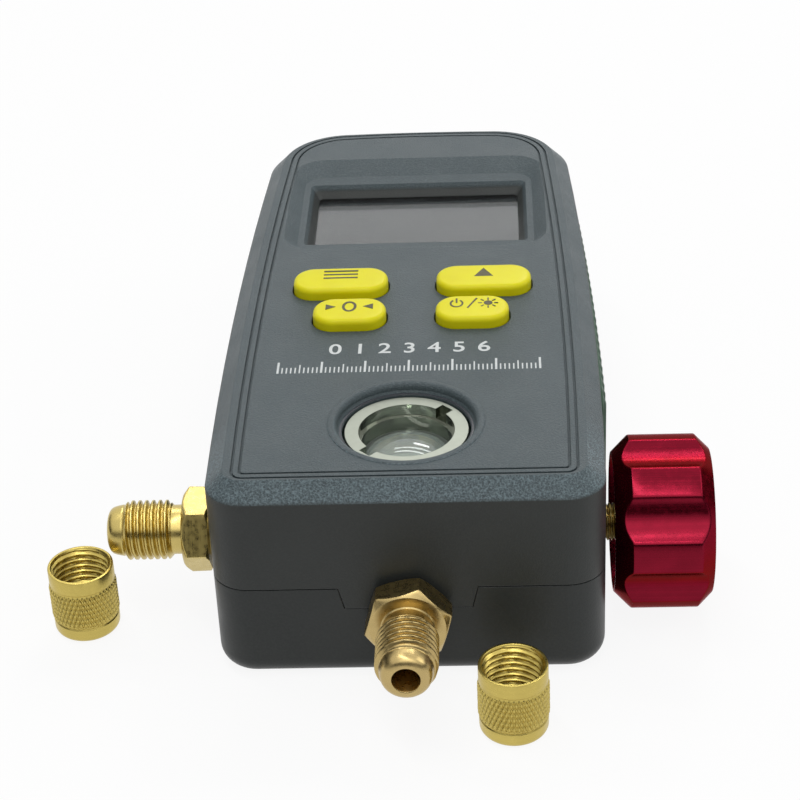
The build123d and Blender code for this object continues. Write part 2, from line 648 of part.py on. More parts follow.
def board_screws():
    return Compound(children=[
        rod_z(SMALL_HEAD_R, BOARD_BOTTOM_Z - SMALL_HEAD, BOARD_BOTTOM_Z, x, NEAR + from_end)
        + rod_z(SMALL_SCREW_R, BOARD_BOTTOM_Z - 0.1, BOARD_BOTTOM_Z + SMALL_SCREW_LENGTH,
                x, NEAR + from_end)
        for x, from_end in mirrored(BOARD_BOSSES)])


def key(x, y, width):
    """Rubber key: a rounded cap, a flange that stops it under the face, and a contact post."""
    flange_top = CEILING_Z - KEY_WEB_GAP
    cap = key_prism(x, y, width, 0.0, flange_top - 0.1, HEIGHT + KEY_PROUD)
    cap = chamfer(cap.edges().group_by(Axis.Z)[-1], KEY_EDGE)
    flange = key_prism(x, y, width, KEY_FLANGE, flange_top - KEY_FLANGE_THICKNESS, flange_top)
    post = rod_z(KEY_POST_R, BOARD_TOP_Z + KEY_TRAVEL + 0.05, flange_top - 0.1, x, y)
    return cap + flange + post


def keypad_mat():
    """Rubber sheet on the board, open around each contact post."""
    rows = [NEAR + row for row in KEY_ROWS]
    half = KEY_INNER_EDGE + KEY_WIDTHS[0]
    reach = KEY_LENGTH / 2 + MAT_MARGIN / 2
    mat = plate(half, min(rows) - reach, max(rows) + reach, BOARD_TOP_Z, BOARD_TOP_Z + MAT_THICKNESS, 3.0)
    for _, x, y, _ in key_sites():
        mat -= rod_z(MAT_HOLE_R, BOARD_TOP_Z - 1, BOARD_TOP_Z + MAT_THICKNESS + 1, x, y)
    return mat


# ---------------------------------------------------------------- batteries
def batteries():
    half, near, _, _ = bay_walls()
    cells = []
    for side in (-1, 1):
        x, z = side * (CELL_R + CELL_GAP / 2), FLOOR_WALL + CELL_R + CELL_GAP / 2
        low = near + CELL_SPRING_ROOM / 2
        body = rod_y(CELL_R, low, low + CELL_LENGTH, x, z)
        high = low + CELL_LENGTH
        button = (high - 0.1, high + CELL_BUTTON) if side > 0 else (low - CELL_BUTTON, low + 0.1)
        cells.append(body + rod_y(CELL_BUTTON_R, *button, x, z))
    return Compound(children=cells)


def battery_contacts():
    """Stamped leaf contacts at both ends of the bay."""
    _, near, far, _ = bay_walls()
    z = FLOOR_WALL + CELL_R + CELL_GAP / 2
    leaves = []
    for side in (-1, 1):
        x = side * (CELL_R + CELL_GAP / 2)
        for wall, outward in ((near, 1), (far, -1)):
            y0, y1 = sorted((wall + 0.05 * outward, wall + (CONTACT_THICKNESS + 0.05) * outward))
            leaves.append(slab(x - CONTACT_WIDTH / 2, x + CONTACT_WIDTH / 2, y0, y1,
                               z - CONTACT_WIDTH / 2, z + CONTACT_WIDTH / 2))
    return Compound(children=leaves)


# ---------------------------------------------------------------- manifold and valve
BLOCK_FRONT = NEAR + BLOCK_FRONT_FROM_END
BLOCK_BACK = BLOCK_FRONT + BLOCK_DEPTH
SIGHT_TOP_Z = HEIGHT - SIGHT_RECESS
HOUSING_TOP_Z = SIGHT_TOP_Z - SIGHT_FLANGE
LENS_TOP_Z = HOUSING_TOP_Z - SIGHT_SKIRT
LENS_BOTTOM_Z = LENS_TOP_Z - LENS_THICKNESS
SEAL_BOTTOM_Z = LENS_BOTTOM_Z - SIGHT_SEAL
BONNET_X = BLOCK_HALF_X - BONNET_DEPTH
KNOB_X = WIDTH / 2 + KNOB_GAP


def manifold_block():
    block = slab(-BLOCK_HALF_X, BLOCK_HALF_X, BLOCK_FRONT, BLOCK_BACK, BLOCK_BOTTOM_Z, BLOCK_TOP_Z)
    block = chamfer(block.edges().filter_by(Axis.X), BLOCK_CHAMFER)
    block -= rod_x(SHANK_R + SHANK_CLEARANCE, -BLOCK_HALF_X - 1, -BLOCK_HALF_X + SHANK_DEPTH,
                   SIDE_Y, SIDE_AXIS_Z)
    block -= rod_x(PASSAGE_R, -BLOCK_HALF_X, SEAT_X + 1, SIDE_Y, SIDE_AXIS_Z)
    block -= rod_x(CHAMBER_R, SEAT_X, BLOCK_HALF_X, SIDE_Y, SIDE_AXIS_Z)
    block -= rod_x(BONNET_R, BONNET_X, BLOCK_HALF_X + 1, SIDE_Y, SIDE_AXIS_Z)
    block -= rod_y(SHANK_R + SHANK_CLEARANCE, BLOCK_FRONT - 1, BLOCK_FRONT + FRONT_SHANK_DEPTH,
                   0, FRONT_AXIS_Z)
    block -= rod_y(PASSAGE_R, BLOCK_FRONT, SIDE_Y, 0, FRONT_AXIS_Z)
    block -= rod_z(PASSAGE_R, SIDE_AXIS_Z, BLOCK_TOP_Z, 0, SIGHT_Y)
    block -= rod_z(SIGHT_SPIGOT_R + LENS_CLEARANCE, BLOCK_TOP_Z - SIGHT_SPIGOT, BLOCK_TOP_Z + 1, 0, SIGHT_Y)
    block -= rod_y(SENSOR_R + LENS_CLEARANCE, BLOCK_BACK - SENSOR_SINK, BLOCK_BACK + 1,
                   SENSOR_X, SIDE_AXIS_Z)
    block -= rod_y(PASSAGE_R / 2, SIDE_Y, BLOCK_BACK, SENSOR_X, SIDE_AXIS_Z)
    for side in (-1, 1):
        block -= rod_z(SCREW_R + SCREW_CLEARANCE, BLOCK_BOTTOM_Z - 1, BLOCK_BOTTOM_Z + 4,
                       side * BLOCK_SCREW_X, (BLOCK_FRONT + BLOCK_BACK) / 2)
    return block


def block_screws():
    y = (BLOCK_FRONT + BLOCK_BACK) / 2
    return Compound(children=[
        rod_z(SCREW_HEAD_R, 0.2, SCREW_HEAD, side * BLOCK_SCREW_X, y)
        + rod_z(SCREW_R, SCREW_HEAD - 0.1, BLOCK_BOTTOM_Z + 3.5, side * BLOCK_SCREW_X, y)
        for side in (-1, 1)])


def flare_fitting(shank):
    """Hexagon flare union along Z, seated on the plane of its hexagon's inner face."""
    thread = HEX_THICKNESS + FLARE_NECK
    nose = thread + FLARE_THREAD
    tip = nose + FLARE_NOSE
    nose_r = FLARE_R - FLARE_EDGE
    body = turned([
        (0, -shank), (SHANK_R, -shank), (SHANK_R, 0.1), (FLARE_NECK_R, 0.1),
        (FLARE_NECK_R, thread), (FLARE_R - FLARE_EDGE, thread), (FLARE_R, thread + FLARE_EDGE),
        (FLARE_R, nose - FLARE_EDGE), (nose_r, nose), (nose_r - 0.25 * FLARE_EDGE, nose + FLARE_NOSE / 2),
        (FLARE_TIP_R, tip), (0, tip)])
    circumscribed = HEX_ACROSS_FLATS / sqrt(3)
    hexagon = extrude(RegularPolygon(circumscribed, 6), HEX_THICKNESS)
    turned_r, outside = HEX_ACROSS_FLATS / 2 + 0.2, circumscribed + 0.1
    hexagon &= turned([
        (0, 0), (outside, 0), (outside, HEX_THICKNESS - HEX_CHAMFER),
        (turned_r, HEX_THICKNESS), (0, HEX_THICKNESS)])
    body += hexagon
    return body - rod_z(FLARE_BORE_R, -shank - 1, tip + 1)


def front_flare_fitting():
    place = NEAR - FRONT_STANDOFF
    shank = BLOCK_FRONT + FRONT_SHANK_DEPTH - SHANK_END_GAP - place
    fitting = flare_fitting(shank)
    return Pos(0, place, FRONT_AXIS_Z) * Rot(90, 0, 0) * Rot(0, 0, FRONT_HEX_TURN) * fitting


def left_flare_fitting():
    place = -WIDTH / 2 - LEFT_STANDOFF
    shank = -place - BLOCK_HALF_X + SHANK_DEPTH - SHANK_END_GAP
    fitting = flare_fitting(shank)
    return Pos(place, SIDE_Y, SIDE_AXIS_Z) * Rot(0, -90, 0) * Rot(0, 0, LEFT_HEX_TURN) * fitting


def valve_bonnet():
    """Threaded insert that closes the valve chamber and carries the stem."""
    outer = rod_x(BONNET_R - SHANK_CLEARANCE, BONNET_X, BLOCK_HALF_X, SIDE_Y, SIDE_AXIS_Z)
    flange = rod_x(BONNET_R + 1.2, BLOCK_HALF_X, BLOCK_HALF_X + BONNET_FLANGE, SIDE_Y, SIDE_AXIS_Z)
    body = outer + flange
    body -= rod_x(STEM_R + STEM_CLEARANCE, BONNET_X - 1, BLOCK_HALF_X + 5, SIDE_Y, SIDE_AXIS_Z)
    pocket = BLOCK_HALF_X + BONNET_FLANGE - PACKING_LENGTH - NUT_LENGTH + 1
    return body - rod_x(PACKING_R, pocket, BLOCK_HALF_X + 5, SIDE_Y, SIDE_AXIS_Z)


def packing_span():
    start = BLOCK_HALF_X + BONNET_FLANGE - PACKING_LENGTH - NUT_LENGTH + 1
    return start, start + PACKING_LENGTH, start + PACKING_LENGTH + NUT_LENGTH


def stem_packing():
    start, middle, _ = packing_span()
    ring = rod_x(PACKING_R - 0.02, start, middle, SIDE_Y, SIDE_AXIS_Z)
    return ring - rod_x(STEM_R + STEM_CLEARANCE, start - 1, middle + 1, SIDE_Y, SIDE_AXIS_Z)


def packing_nut():
    _, start, end = packing_span()
    nut = rod_x(PACKING_R - SHANK_CLEARANCE, start, end, SIDE_Y, SIDE_AXIS_Z)
    return nut - rod_x(STEM_R + STEM_CLEARANCE, start - 1, end + 1, SIDE_Y, SIDE_AXIS_Z)


SEAL_X = SEAT_X + 0.03
PISTON_X = SEAL_X + PISTON_SEAL_THICKNESS
PISTON_END_X = PISTON_X + PISTON_LENGTH
SPIGOT_X = KNOB_X + KNOB_HUB_SET_BACK - STEM_CLEARANCE
SPIGOT_END_X = SPIGOT_X + SPIGOT_LENGTH


def piston_seal():
    return rod_x(PISTON_SEAL_R, SEAL_X, PISTON_X, SIDE_Y, SIDE_AXIS_Z)


def valve_piston():
    """Sliding head: it carries the seal and does not turn with the stem."""
    body = rod_x(CHAMBER_R - STEM_CLEARANCE, PISTON_X, PISTON_END_X, SIDE_Y, SIDE_AXIS_Z)
    socket = PISTON_END_X - PISTON_LENGTH / 2
    return body - rod_x(STEM_WAIST_R + STEM_CLEARANCE, socket, PISTON_END_X + 1, SIDE_Y, SIDE_AXIS_Z)


def valve_stem():
    socket = PISTON_END_X - PISTON_LENGTH / 2 + STEM_CLEARANCE
    thread = BONNET_X - VALVE_TURNS * STEM_PITCH - 1
    waist = rod_x(STEM_WAIST_R, socket, thread + 0.1, SIDE_Y, SIDE_AXIS_Z)
    screw = rod_x(STEM_R, thread, SPIGOT_X, SIDE_Y, SIDE_AXIS_Z)
    spigot = rod_x(STEM_R, SPIGOT_X - 0.1, SPIGOT_END_X, SIDE_Y, SIDE_AXIS_Z)
    spigot &= slab(SPIGOT_X - 1, SPIGOT_END_X + 1, SIDE_Y - STEM_R - 1, SIDE_Y + STEM_R + 1,
                   SIDE_AXIS_Z - SPIGOT_FLAT, SIDE_AXIS_Z + SPIGOT_FLAT)
    stem = waist + screw + spigot
    return stem - rod_x(KNOB_SCREW_R + SCREW_CLEARANCE, SPIGOT_END_X - KNOB_SCREW_LENGTH, SPIGOT_END_X + 1,
                        SIDE_Y, SIDE_AXIS_Z)


def valve_knob():
    """Fluted knob, open towards the case around its hub."""
    end = KNOB_LENGTH
    body = turned([
        (0, 0), (KNOB_R - KNOB_INNER_CHAMFER, 0), (KNOB_R, KNOB_INNER_CHAMFER),
        (KNOB_R, end - KNOB_OUTER_CHAMFER), (KNOB_R - KNOB_OUTER_CHAMFER, end), (0, end)])
    reach = KNOB_R + KNOB_FLUTE_R - KNOB_FLUTE_DEPTH
    for index in range(KNOB_LOBES):
        angle = radians(270 - KNOB_PHASE + index * 360 / KNOB_LOBES)
        body -= rod_z(KNOB_FLUTE_R, -1, end + 1, reach * cos(angle), reach * sin(angle))
    body -= rod_z(KNOB_CUP_R, -1, KNOB_CUP_DEPTH)
    body += rod_z(KNOB_HUB_R, KNOB_HUB_SET_BACK, KNOB_CUP_DEPTH + 0.1)
    body -= rod_z(KNOB_DISH_R, end - KNOB_DISH_DEPTH, end + 1)
    socket = rod_z(STEM_R + STEM_CLEARANCE, KNOB_HUB_SET_BACK - 1, KNOB_HUB_SET_BACK + SPIGOT_LENGTH + 0.1)
    flat = SPIGOT_FLAT + STEM_CLEARANCE
    socket &= slab(-flat, flat, -STEM_R - 1, STEM_R + 1, -5, end)
    body -= socket
    head_floor = end - KNOB_DISH_DEPTH - KNOB_SCREW_HEAD - 0.3
    body -= rod_z(KNOB_SCREW_HEAD_R + 0.2, head_floor, end + 1)
    body -= rod_z(KNOB_SCREW_R + 0.2, 0, end)
    # local X of the knob becomes -Z of the case
    return Pos(KNOB_X, SIDE_Y, SIDE_AXIS_Z) * Rot(0, 90, 0) * body


def knob_screw():
    head = KNOB_X + KNOB_LENGTH - KNOB_DISH_DEPTH - KNOB_SCREW_HEAD - 0.3
    body = rod_x(KNOB_SCREW_HEAD_R, head, head + KNOB_SCREW_HEAD, SIDE_Y, SIDE_AXIS_Z)
    return body + rod_x(KNOB_SCREW_R, SPIGOT_END_X - KNOB_SCREW_LENGTH + 1, head + 0.1, SIDE_Y, SIDE_AXIS_Z)


def pressure_sensor():
    """Oil filled sensor can screwed into the back of the block."""
    start = BLOCK_BACK - SENSOR_SINK + 0.1
    can = rod_y(SENSOR_R, start, BLOCK_BACK + 0.05, SENSOR_X, SIDE_AXIS_Z)
    can += rod_y(SENSOR_R + 1.2, BLOCK_BACK, BLOCK_BACK + 2.5, SENSOR_X, SIDE_AXIS_Z)
    can += rod_y(SENSOR_R - 1.0, BLOCK_BACK + 2.4, start + SENSOR_LENGTH, SENSOR_X, SIDE_AXIS_Z)
    return can - rod_y(PASSAGE_R / 2, start - 1, start + 2, SENSOR_X, SIDE_AXIS_Z)


# ---------------------------------------------------------------- sight glass
def sight_housing():
    """Plated cup that stands on the block and rises to just under the face."""
    body = turned([
        (SIGHT_WINDOW_R, BLOCK_TOP_Z - SIGHT_SPIGOT + 0.1),
        (SIGHT_SPIGOT_R, BLOCK_TOP_Z - SIGHT_SPIGOT + 0.1),
        (SIGHT_SPIGOT_R, BLOCK_TOP_Z), (SIGHT_R, BLOCK_TOP_Z), (SIGHT_R, HOUSING_TOP_Z),
        (SIGHT_THREAD_R, HOUSING_TOP_Z), (SIGHT_THREAD_R, SEAL_BOTTOM_Z), (SIGHT_WINDOW_R, SEAL_BOTTOM_Z)])
    return body.moved(Pos(0, SIGHT_Y, 0))


def sight_seal():
    ring = turned([
        (SIGHT_WINDOW_R + SIGHT_SEAL_INSET, SEAL_BOTTOM_Z),
        (SIGHT_THREAD_R - LENS_CLEARANCE, SEAL_BOTTOM_Z),
        (SIGHT_THREAD_R - LENS_CLEARANCE, LENS_BOTTOM_Z),
        (SIGHT_WINDOW_R + SIGHT_SEAL_INSET, LENS_BOTTOM_Z)])
    return ring.moved(Pos(0, SIGHT_Y, 0))


def sight_lens():
    """Glass disc with a domed top."""
    radius = SIGHT_THREAD_R - LENS_CLEARANCE
    base = rod_z(radius, LENS_BOTTOM_Z, LENS_TOP_Z)
    ball = (LENS_DOME_R**2 + LENS_DOME**2) / (2 * LENS_DOME)
    dome = Pos(0, 0, LENS_TOP_Z + LENS_DOME - ball) * Sphere(ball)
    dome &= rod_z(LENS_DOME_R, LENS_TOP_Z - 0.1, LENS_TOP_Z + LENS_DOME + 1)
    return (base + dome).moved(Pos(0, SIGHT_Y, 0))


def sight_ring():
    """Screwed retainer with two spanner notches."""
    foot_r, step_z, edge = SIGHT_BORE_R - SIGHT_STEP, SIGHT_TOP_Z - SIGHT_STEP_DEPTH, SIGHT_RING_EDGE
    body = turned([
        (foot_r, LENS_TOP_Z), (SIGHT_THREAD_R - LENS_CLEARANCE, LENS_TOP_Z),
        (SIGHT_THREAD_R - LENS_CLEARANCE, HOUSING_TOP_Z), (SIGHT_R, HOUSING_TOP_Z),
        (SIGHT_R, SIGHT_TOP_Z - edge), (SIGHT_R - edge, SIGHT_TOP_Z),
        (SIGHT_BORE_R, SIGHT_TOP_Z), (SIGHT_BORE_R, step_z), (foot_r, step_z)])
    notch = slab(-NOTCH_OUTER_R, NOTCH_OUTER_R, -NOTCH_WIDTH / 2, NOTCH_WIDTH / 2,
                 SIGHT_TOP_Z - NOTCH_DEPTH, SIGHT_TOP_Z + 1)
    return (body - Rot(0, 0, NOTCH_TURN) * notch).moved(Pos(0, SIGHT_Y, 0))


# ---------------------------------------------------------------- caps
def flare_cap():
    """Closed at the foot, bored for the flare thread from the rim."""
    low, high, band_r = CAP_BAND, CAP_HEIGHT - CAP_BAND, CAP_R - CAP_BAND_STEP
    return turned([
        (0, 0), (band_r - CAP_EDGE, 0), (band_r - CAP_EDGE * 0.3, CAP_EDGE * 0.3), (band_r, CAP_EDGE),
        (band_r, low), (CAP_R, low + CAP_BAND_STEP), (CAP_R, high - CAP_BAND_STEP), (band_r, high),
        (band_r, CAP_HEIGHT), (CAP_BORE_R + CAP_MOUTH, CAP_HEIGHT), (CAP_BORE_R, CAP_HEIGHT - CAP_MOUTH),
        (CAP_BORE_R, CAP_FLOOR + CAP_DRILL_POINT), (0, CAP_FLOOR)])


# ---------------------------------------------------------------- write the files
def main():
    nodes = {
        "front_shell": front_shell(),
        "rear_shell": rear_shell(),
        "side_grip_left": side_grip(-1),
        "side_grip_right": side_grip(1),
        "case_screws": case_screws(),
        "battery_door": battery_door(),
        "battery_door_screw": battery_door_screw(),
        "lcd_window": lcd_window(),
        "lcd_panel": lcd_panel(),
        "lcd_frame": lcd_frame(),
        "backlight": backlight(),
        "elastomer_strips": elastomer_strips(),
        "circuit_board": circuit_board(),
        "board_components": board_components(),
        "board_screws": board_screws(),
        "keypad_mat": keypad_mat(),
        "batteries": batteries(),
        "battery_contacts": battery_contacts(),
        "manifold_block": manifold_block(),
        "block_screws": block_screws(),
        "front_flare_fitting": front_flare_fitting(),
        "left_flare_fitting": left_flare_fitting(),
        "valve_bonnet": valve_bonnet(),
        "stem_packing": stem_packing(),
        "packing_nut": packing_nut(),
        "piston_seal": piston_seal(),
        "valve_piston": valve_piston(),
        "valve_stem": valve_stem(),
        "valve_knob": valve_knob(),
        "knob_screw": knob_screw(),
        "pressure_sensor": pressure_sensor(),
        "sight_housing": sight_housing(),
        "sight_seal": sight_seal(),
        "sight_lens": sight_lens(),
        "sight_ring": sight_ring(),
    }
    for name, x, y, width in key_sites():
        nodes[name] = key(x, y, width)
    for name, (x, from_end) in CAP_PLACES.items():
        nodes[name] = flare_cap().moved(Pos(x, NEAR + from_end, 0))
    os.makedirs("parts", exist_ok=True)
    for name, shape in nodes.items():
        export_step(shape, f"parts/{name}.step")


main()
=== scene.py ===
import json
import math

import bpy
from mathutils import Matrix, Vector


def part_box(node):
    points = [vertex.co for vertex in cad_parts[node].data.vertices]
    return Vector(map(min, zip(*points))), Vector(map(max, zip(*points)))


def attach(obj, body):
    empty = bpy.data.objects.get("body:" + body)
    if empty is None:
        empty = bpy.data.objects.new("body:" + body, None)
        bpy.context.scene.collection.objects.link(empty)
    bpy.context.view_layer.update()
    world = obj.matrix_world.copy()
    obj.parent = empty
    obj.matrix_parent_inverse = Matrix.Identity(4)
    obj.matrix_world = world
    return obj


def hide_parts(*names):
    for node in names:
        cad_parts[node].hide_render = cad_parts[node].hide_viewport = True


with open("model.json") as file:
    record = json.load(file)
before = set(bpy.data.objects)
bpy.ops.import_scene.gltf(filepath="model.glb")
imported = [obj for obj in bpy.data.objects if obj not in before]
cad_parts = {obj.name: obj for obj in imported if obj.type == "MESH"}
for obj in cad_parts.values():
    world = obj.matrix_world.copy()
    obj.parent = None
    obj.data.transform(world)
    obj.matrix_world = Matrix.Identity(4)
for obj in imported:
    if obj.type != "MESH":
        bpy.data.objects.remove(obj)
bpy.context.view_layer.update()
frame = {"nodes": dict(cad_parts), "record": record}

NODES = frame["nodes"]
MM = 0.001
TAU = 2 * math.pi
QUARTER = math.pi / 2

# Places and sizes in millimetres, as in the CAD source.
NEAR, FAR = -73.5, 73.5
FACE_Z = 41.0
SIDE_Y, SIDE_Z = -50.3, 17.0            # axis of the left port and of the valve
SIGHT_PLACE = (0, -52.1, 0)
FRONT_PORT = (0.0, -74.75, 15.4)        # inner face of the front hexagon
LEFT_PORT = (-37.2, SIDE_Y, SIDE_Z)     # inner face of the left hexagon
KNOB_PLACE = (37.1, SIDE_Y, SIDE_Z)     # inner face of the knob
CAPS = {"left_flare_cap": (-61.5, -56.6, 0.0), "front_flare_cap": (18.2, -87.9, 0.0)}
FLARE_R, FLARE_PITCH, FLARE_DEPTH = 5.556, 1.27, 0.72
STEM_R, STEM_PITCH, STEM_DEPTH = 3.5, 0.75, 0.42

# Frames of the turned pieces: two directions across the axis, then the axis.
ALONG_Z = ((1, 0, 0), (0, 1, 0), (0, 0, 1))
TOWARDS_FRONT = ((1, 0, 0), (0, 0, 1), (0, -1, 0))
TOWARDS_LEFT = ((0, 0, 1), (0, 1, 0), (-1, 0, 0))
TOWARDS_RIGHT = ((0, 0, -1), (0, 1, 0), (1, 0, 0))
TOWARDS_BACK = ((0, 1, 0), (1, 0, 0), (0, 0, -1))


# ---------------------------------------------------------------- materials
MIX_A, MIX_B, MIX_RESULT = 6, 7, 2      # colour sockets of the Mix node


class Finish:
    """A node material built from short calls."""

    def __init__(self, name):
        self.material = bpy.data.materials.new(name)
        self.material.use_nodes = True
        self.tree = self.material.node_tree
        self.shader = self.tree.nodes["Principled BSDF"]
        self.coordinates = self.node("ShaderNodeTexCoord").outputs["Object"]

    def node(self, kind, inputs=None, **settings):
        """A node of the tree. Its inputs are values or other nodes' sockets."""
        made = self.tree.nodes.new(kind)
        for key, value in settings.items():
            setattr(made, key, value)
        for key, value in (inputs or {}).items():
            if isinstance(value, bpy.types.NodeSocket):
                self.tree.links.new(value, made.inputs[key])
            else:
                made.inputs[key].default_value = value
        return made

    def set(self, **values):
        """Shader sockets by name, with _ for a space: a number, a colour or a socket."""
        for key, value in values.items():
            socket = self.shader.inputs[key.replace("_", " ")]
            if isinstance(value, bpy.types.NodeSocket):
                self.tree.links.new(value, socket)
            else:
                socket.default_value = (*value, 1) if socket.type == "RGBA" else value
        return self

    def stretched(self, x, y, z):
        inputs = {"Vector": self.coordinates, "Scale": (x, y, z)}
        return self.node("ShaderNodeMapping", inputs).outputs[0]

    def noise(self, scale, detail=2.0, vector=None, roughness=0.5):
        inputs = {"Vector": vector or self.coordinates, "Scale": scale, "Detail": detail,
                  "Roughness": roughness}
        return self.node("ShaderNodeTexNoise", inputs).outputs[0]

    def cells(self, scale):
        inputs = {"Vector": self.coordinates, "Scale": scale}
        return self.node("ShaderNodeTexVoronoi", inputs, feature="SMOOTH_F1").outputs["Distance"]

    def spread(self, value, low, high, start=0.3, end=0.7):
        """A noise value stretched from start..end onto low..high."""
        inputs = {"Value": value, "From Min": start, "From Max": end, "To Min": low, "To Max": high}
        return self.node("ShaderNodeMapRange", inputs).outputs[0]

    def band(self, place, low, high, limits):
        """low before a band of places in millimetres, high beyond it."""
        return self.spread(place, low, high, limits[0] * MM, limits[1] * MM)

    def blend(self, factor, low, high):
        """Two colours mixed by a value from 0 to 1."""
        made = self.node("ShaderNodeMix", data_type="RGBA")
        self.tree.links.new(factor, made.inputs["Factor"])
        for index, colour in ((MIX_A, low), (MIX_B, high)):
            if isinstance(colour, bpy.types.NodeSocket):
                self.tree.links.new(colour, made.inputs[index])
            else:
                made.inputs[index].default_value = (*colour, 1)
        return made.outputs[MIX_RESULT]

    def math(self, operation, first, second=0.0):
        return self.node("ShaderNodeMath", {0: first, 1: second}, operation=operation).outputs[0]

    def normal(self):
        return self.node("ShaderNodeNewGeometry").outputs["Normal"]

    def parts_of(self, vector):
        return self.node("ShaderNodeSeparateXYZ", {"Vector": vector}).outputs

    def rounded(self, radius):
        """Normals as if the edges had this radius, in millimetres."""
        return self.node("ShaderNodeBevel", {"Radius": radius * MM}, samples=6).outputs[0]

    def bump(self, height, distance, normal=None):
        """Relief with a depth in millimetres."""
        inputs = {"Height": height, "Distance": distance * MM, "Strength": 1.0}
        if normal:
            inputs["Normal"] = normal
        return self.node("ShaderNodeBump", inputs).outputs[0]


def shades(colour, amount):
    """A darker and a lighter colour around one."""
    return tuple(c * (1 - amount) for c in colour), tuple(min(c * (1 + amount), 1) for c in colour)


def brighter(colour, times):
    return tuple(min(c * times, 1) for c in colour)


# Bands of the front shell in millimetres, from where a look starts to where it is full.
FACE_BAND = (37.6, 38.2)                # height from which the face is coarser and lighter, partly as painted light from above
NEAR_BAND = (-62, -50)                  # Y over which the painted glints of the near bevel die out
WELL_FLOOR_BAND = (38.55, 38.75)        # height of the floor of the display well
WELL_NEAR_BAND = (18, 19)               # Y of the near end of the display well
WELL_WALL_BAND = (28, 29)               # distance of the well's side walls from the middle
WELL_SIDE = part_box("lcd_window")[1][0]  # in metres: the side edge of the window
WELL_BLACK = (0.006, 0.006, 0.007)
FACE_GRAIN_DEPTH, WALL_GRAIN_SHARE = 0.2, 0.3


def near_slope(f, y):
    """1 on the bevelled edge at the near end, falling off along the case: where glints are painted.
    """
    level = f.parts_of(f.normal())[2]
    slope = f.math("MULTIPLY", f.spread(level, 1, 0, 0.86, 0.96), f.spread(level, 0, 1, 0.2, 0.4))
    return f.math("MULTIPLY", slope, f.band(y, 1, 0.12, NEAR_BAND))


def beside_window(f, x, y, z):
    """1 on the strips of the display well's floor to the left and right of the window."""
    out = f.math("ABSOLUTE", x)
    strips = f.math("MULTIPLY", f.band(z, 1, 0, WELL_FLOOR_BAND), f.band(y, 0, 1, WELL_NEAR_BAND))
    strips = f.math("MULTIPLY", strips, f.spread(out, 0, 1, WELL_SIDE - 0.3 * MM, WELL_SIDE))
    return f.math("MULTIPLY", strips, f.band(out, 1, 0, WELL_WALL_BAND))


def moulded(name, colour, grain_scale, grain_depth, roughness, wear=0.35, face=None, specular=0.5):
    """Moulded plastic: spark-eroded grain, clouded gloss, edges rubbed a little lighter.
    face gives the colour of the coarser front face. It is lighter than the walls partly for its
    grain and partly as painted light from above, and the walls' darker colour is partly painted
    shade. With a face, the near bevel also gets painted glints."""
    f = Finish(name)
    clouds = f.spread(f.noise(55, 3), 0, 1)
    base = f.blend(clouds, *shades(colour, 0.08))
    pits = f.math("MULTIPLY", f.cells(grain_scale * 0.7), 0.6)
    grain = f.math("ADD", f.noise(grain_scale, 3, roughness=0.65), pits)
    speck = f.spread(grain, 0, 1, 0.60, 1.00)
    light = brighter(colour, 1.25)
    depth = grain_depth
    if face:
        x, y, z = f.parts_of(f.coordinates)
        on_face = f.band(z, 0, 1, FACE_BAND)
        # Painted light: the top face is coloured lighter than the walls, partly for its grain and
        # partly for the light from above.
        base = f.blend(on_face, base, f.blend(clouds, *shades(face, 0.05)))
        light = f.blend(on_face, light, brighter(face, 1.75))
        # Painted highlight: bright specks on the near bevel stand in for the lamps' glints on its
        # grain.
        painted_glints = f.math("MULTIPLY", near_slope(f, y), on_face)
        light = f.blend(painted_glints, light, brighter(face, 5.0))
        depth = FACE_GRAIN_DEPTH
        share = grain_depth / depth
        grain = f.math("MULTIPLY", grain, f.spread(on_face, WALL_GRAIN_SHARE * share, share, 0, 1))
    base = f.blend(f.math("MULTIPLY", speck, 0.55), base, light)
    soft = f.rounded(0.25)
    turn = f.node("ShaderNodeVectorMath", {0: soft, 1: f.normal()},
                  operation="DOT_PRODUCT").outputs["Value"]
    rubbed = f.math("MULTIPLY", f.spread(turn, 1, 0, 0.80, 0.995),
                    f.spread(f.noise(380, 3), 0.2, 1.0))
    base = f.blend(f.math("MULTIPLY", rubbed, wear), base, brighter(colour, 2.0))
    if face:
        base = f.blend(beside_window(f, x, y, z), base, WELL_BLACK)
    gloss = f.math("ADD", f.spread(f.noise(130, 4), roughness - 0.05, roughness + 0.05),
                   f.math("MULTIPLY", rubbed, -0.10))
    f.set(Base_Color=base, Roughness=gloss, Normal=f.bump(grain, depth, soft), IOR=1.5,
          Specular_IOR_Level=specular)
    return f


def turned_metal(name, colour, roughness, marks, mark_depth, tint=0.10, edge=0.10):
    """Turned metal. marks is the texture scale across X, Y and Z, small along the tool marks."""
    f = Finish(name)
    clouds = f.spread(f.noise(240, 4), 0, 1)
    lines = f.noise(1.0, 2, f.stretched(*marks))
    both = f.math("ADD", clouds, f.spread(lines, 0, 1))
    base = f.blend(f.math("MULTIPLY", both, 0.5), *shades(colour, tint))
    gloss = f.math("ADD", f.spread(f.noise(900, 3), roughness * 0.8, roughness * 1.25),
                   f.math("MULTIPLY", f.spread(lines, 0, 1), roughness * 0.25))
    height = f.math("ADD", lines, f.math("MULTIPLY", f.noise(2600, 2), 0.05))
    f.set(Base_Color=base, Roughness=gloss, Metallic=1.0,
          Normal=f.bump(height, mark_depth, f.rounded(edge)))
    return f


def even(name, colours, cloud, gloss, roughness, grain, depth):
    """An even material. cloud, gloss and grain are the scales of its colour, roughness and bump,
    each with a level of detail."""
    f = Finish(name)
    f.set(Base_Color=f.blend(f.spread(f.noise(*cloud), 0, 1), *colours),
          Roughness=f.spread(f.noise(*gloss), *roughness), Normal=f.bump(f.noise(*grain), depth))
    return f


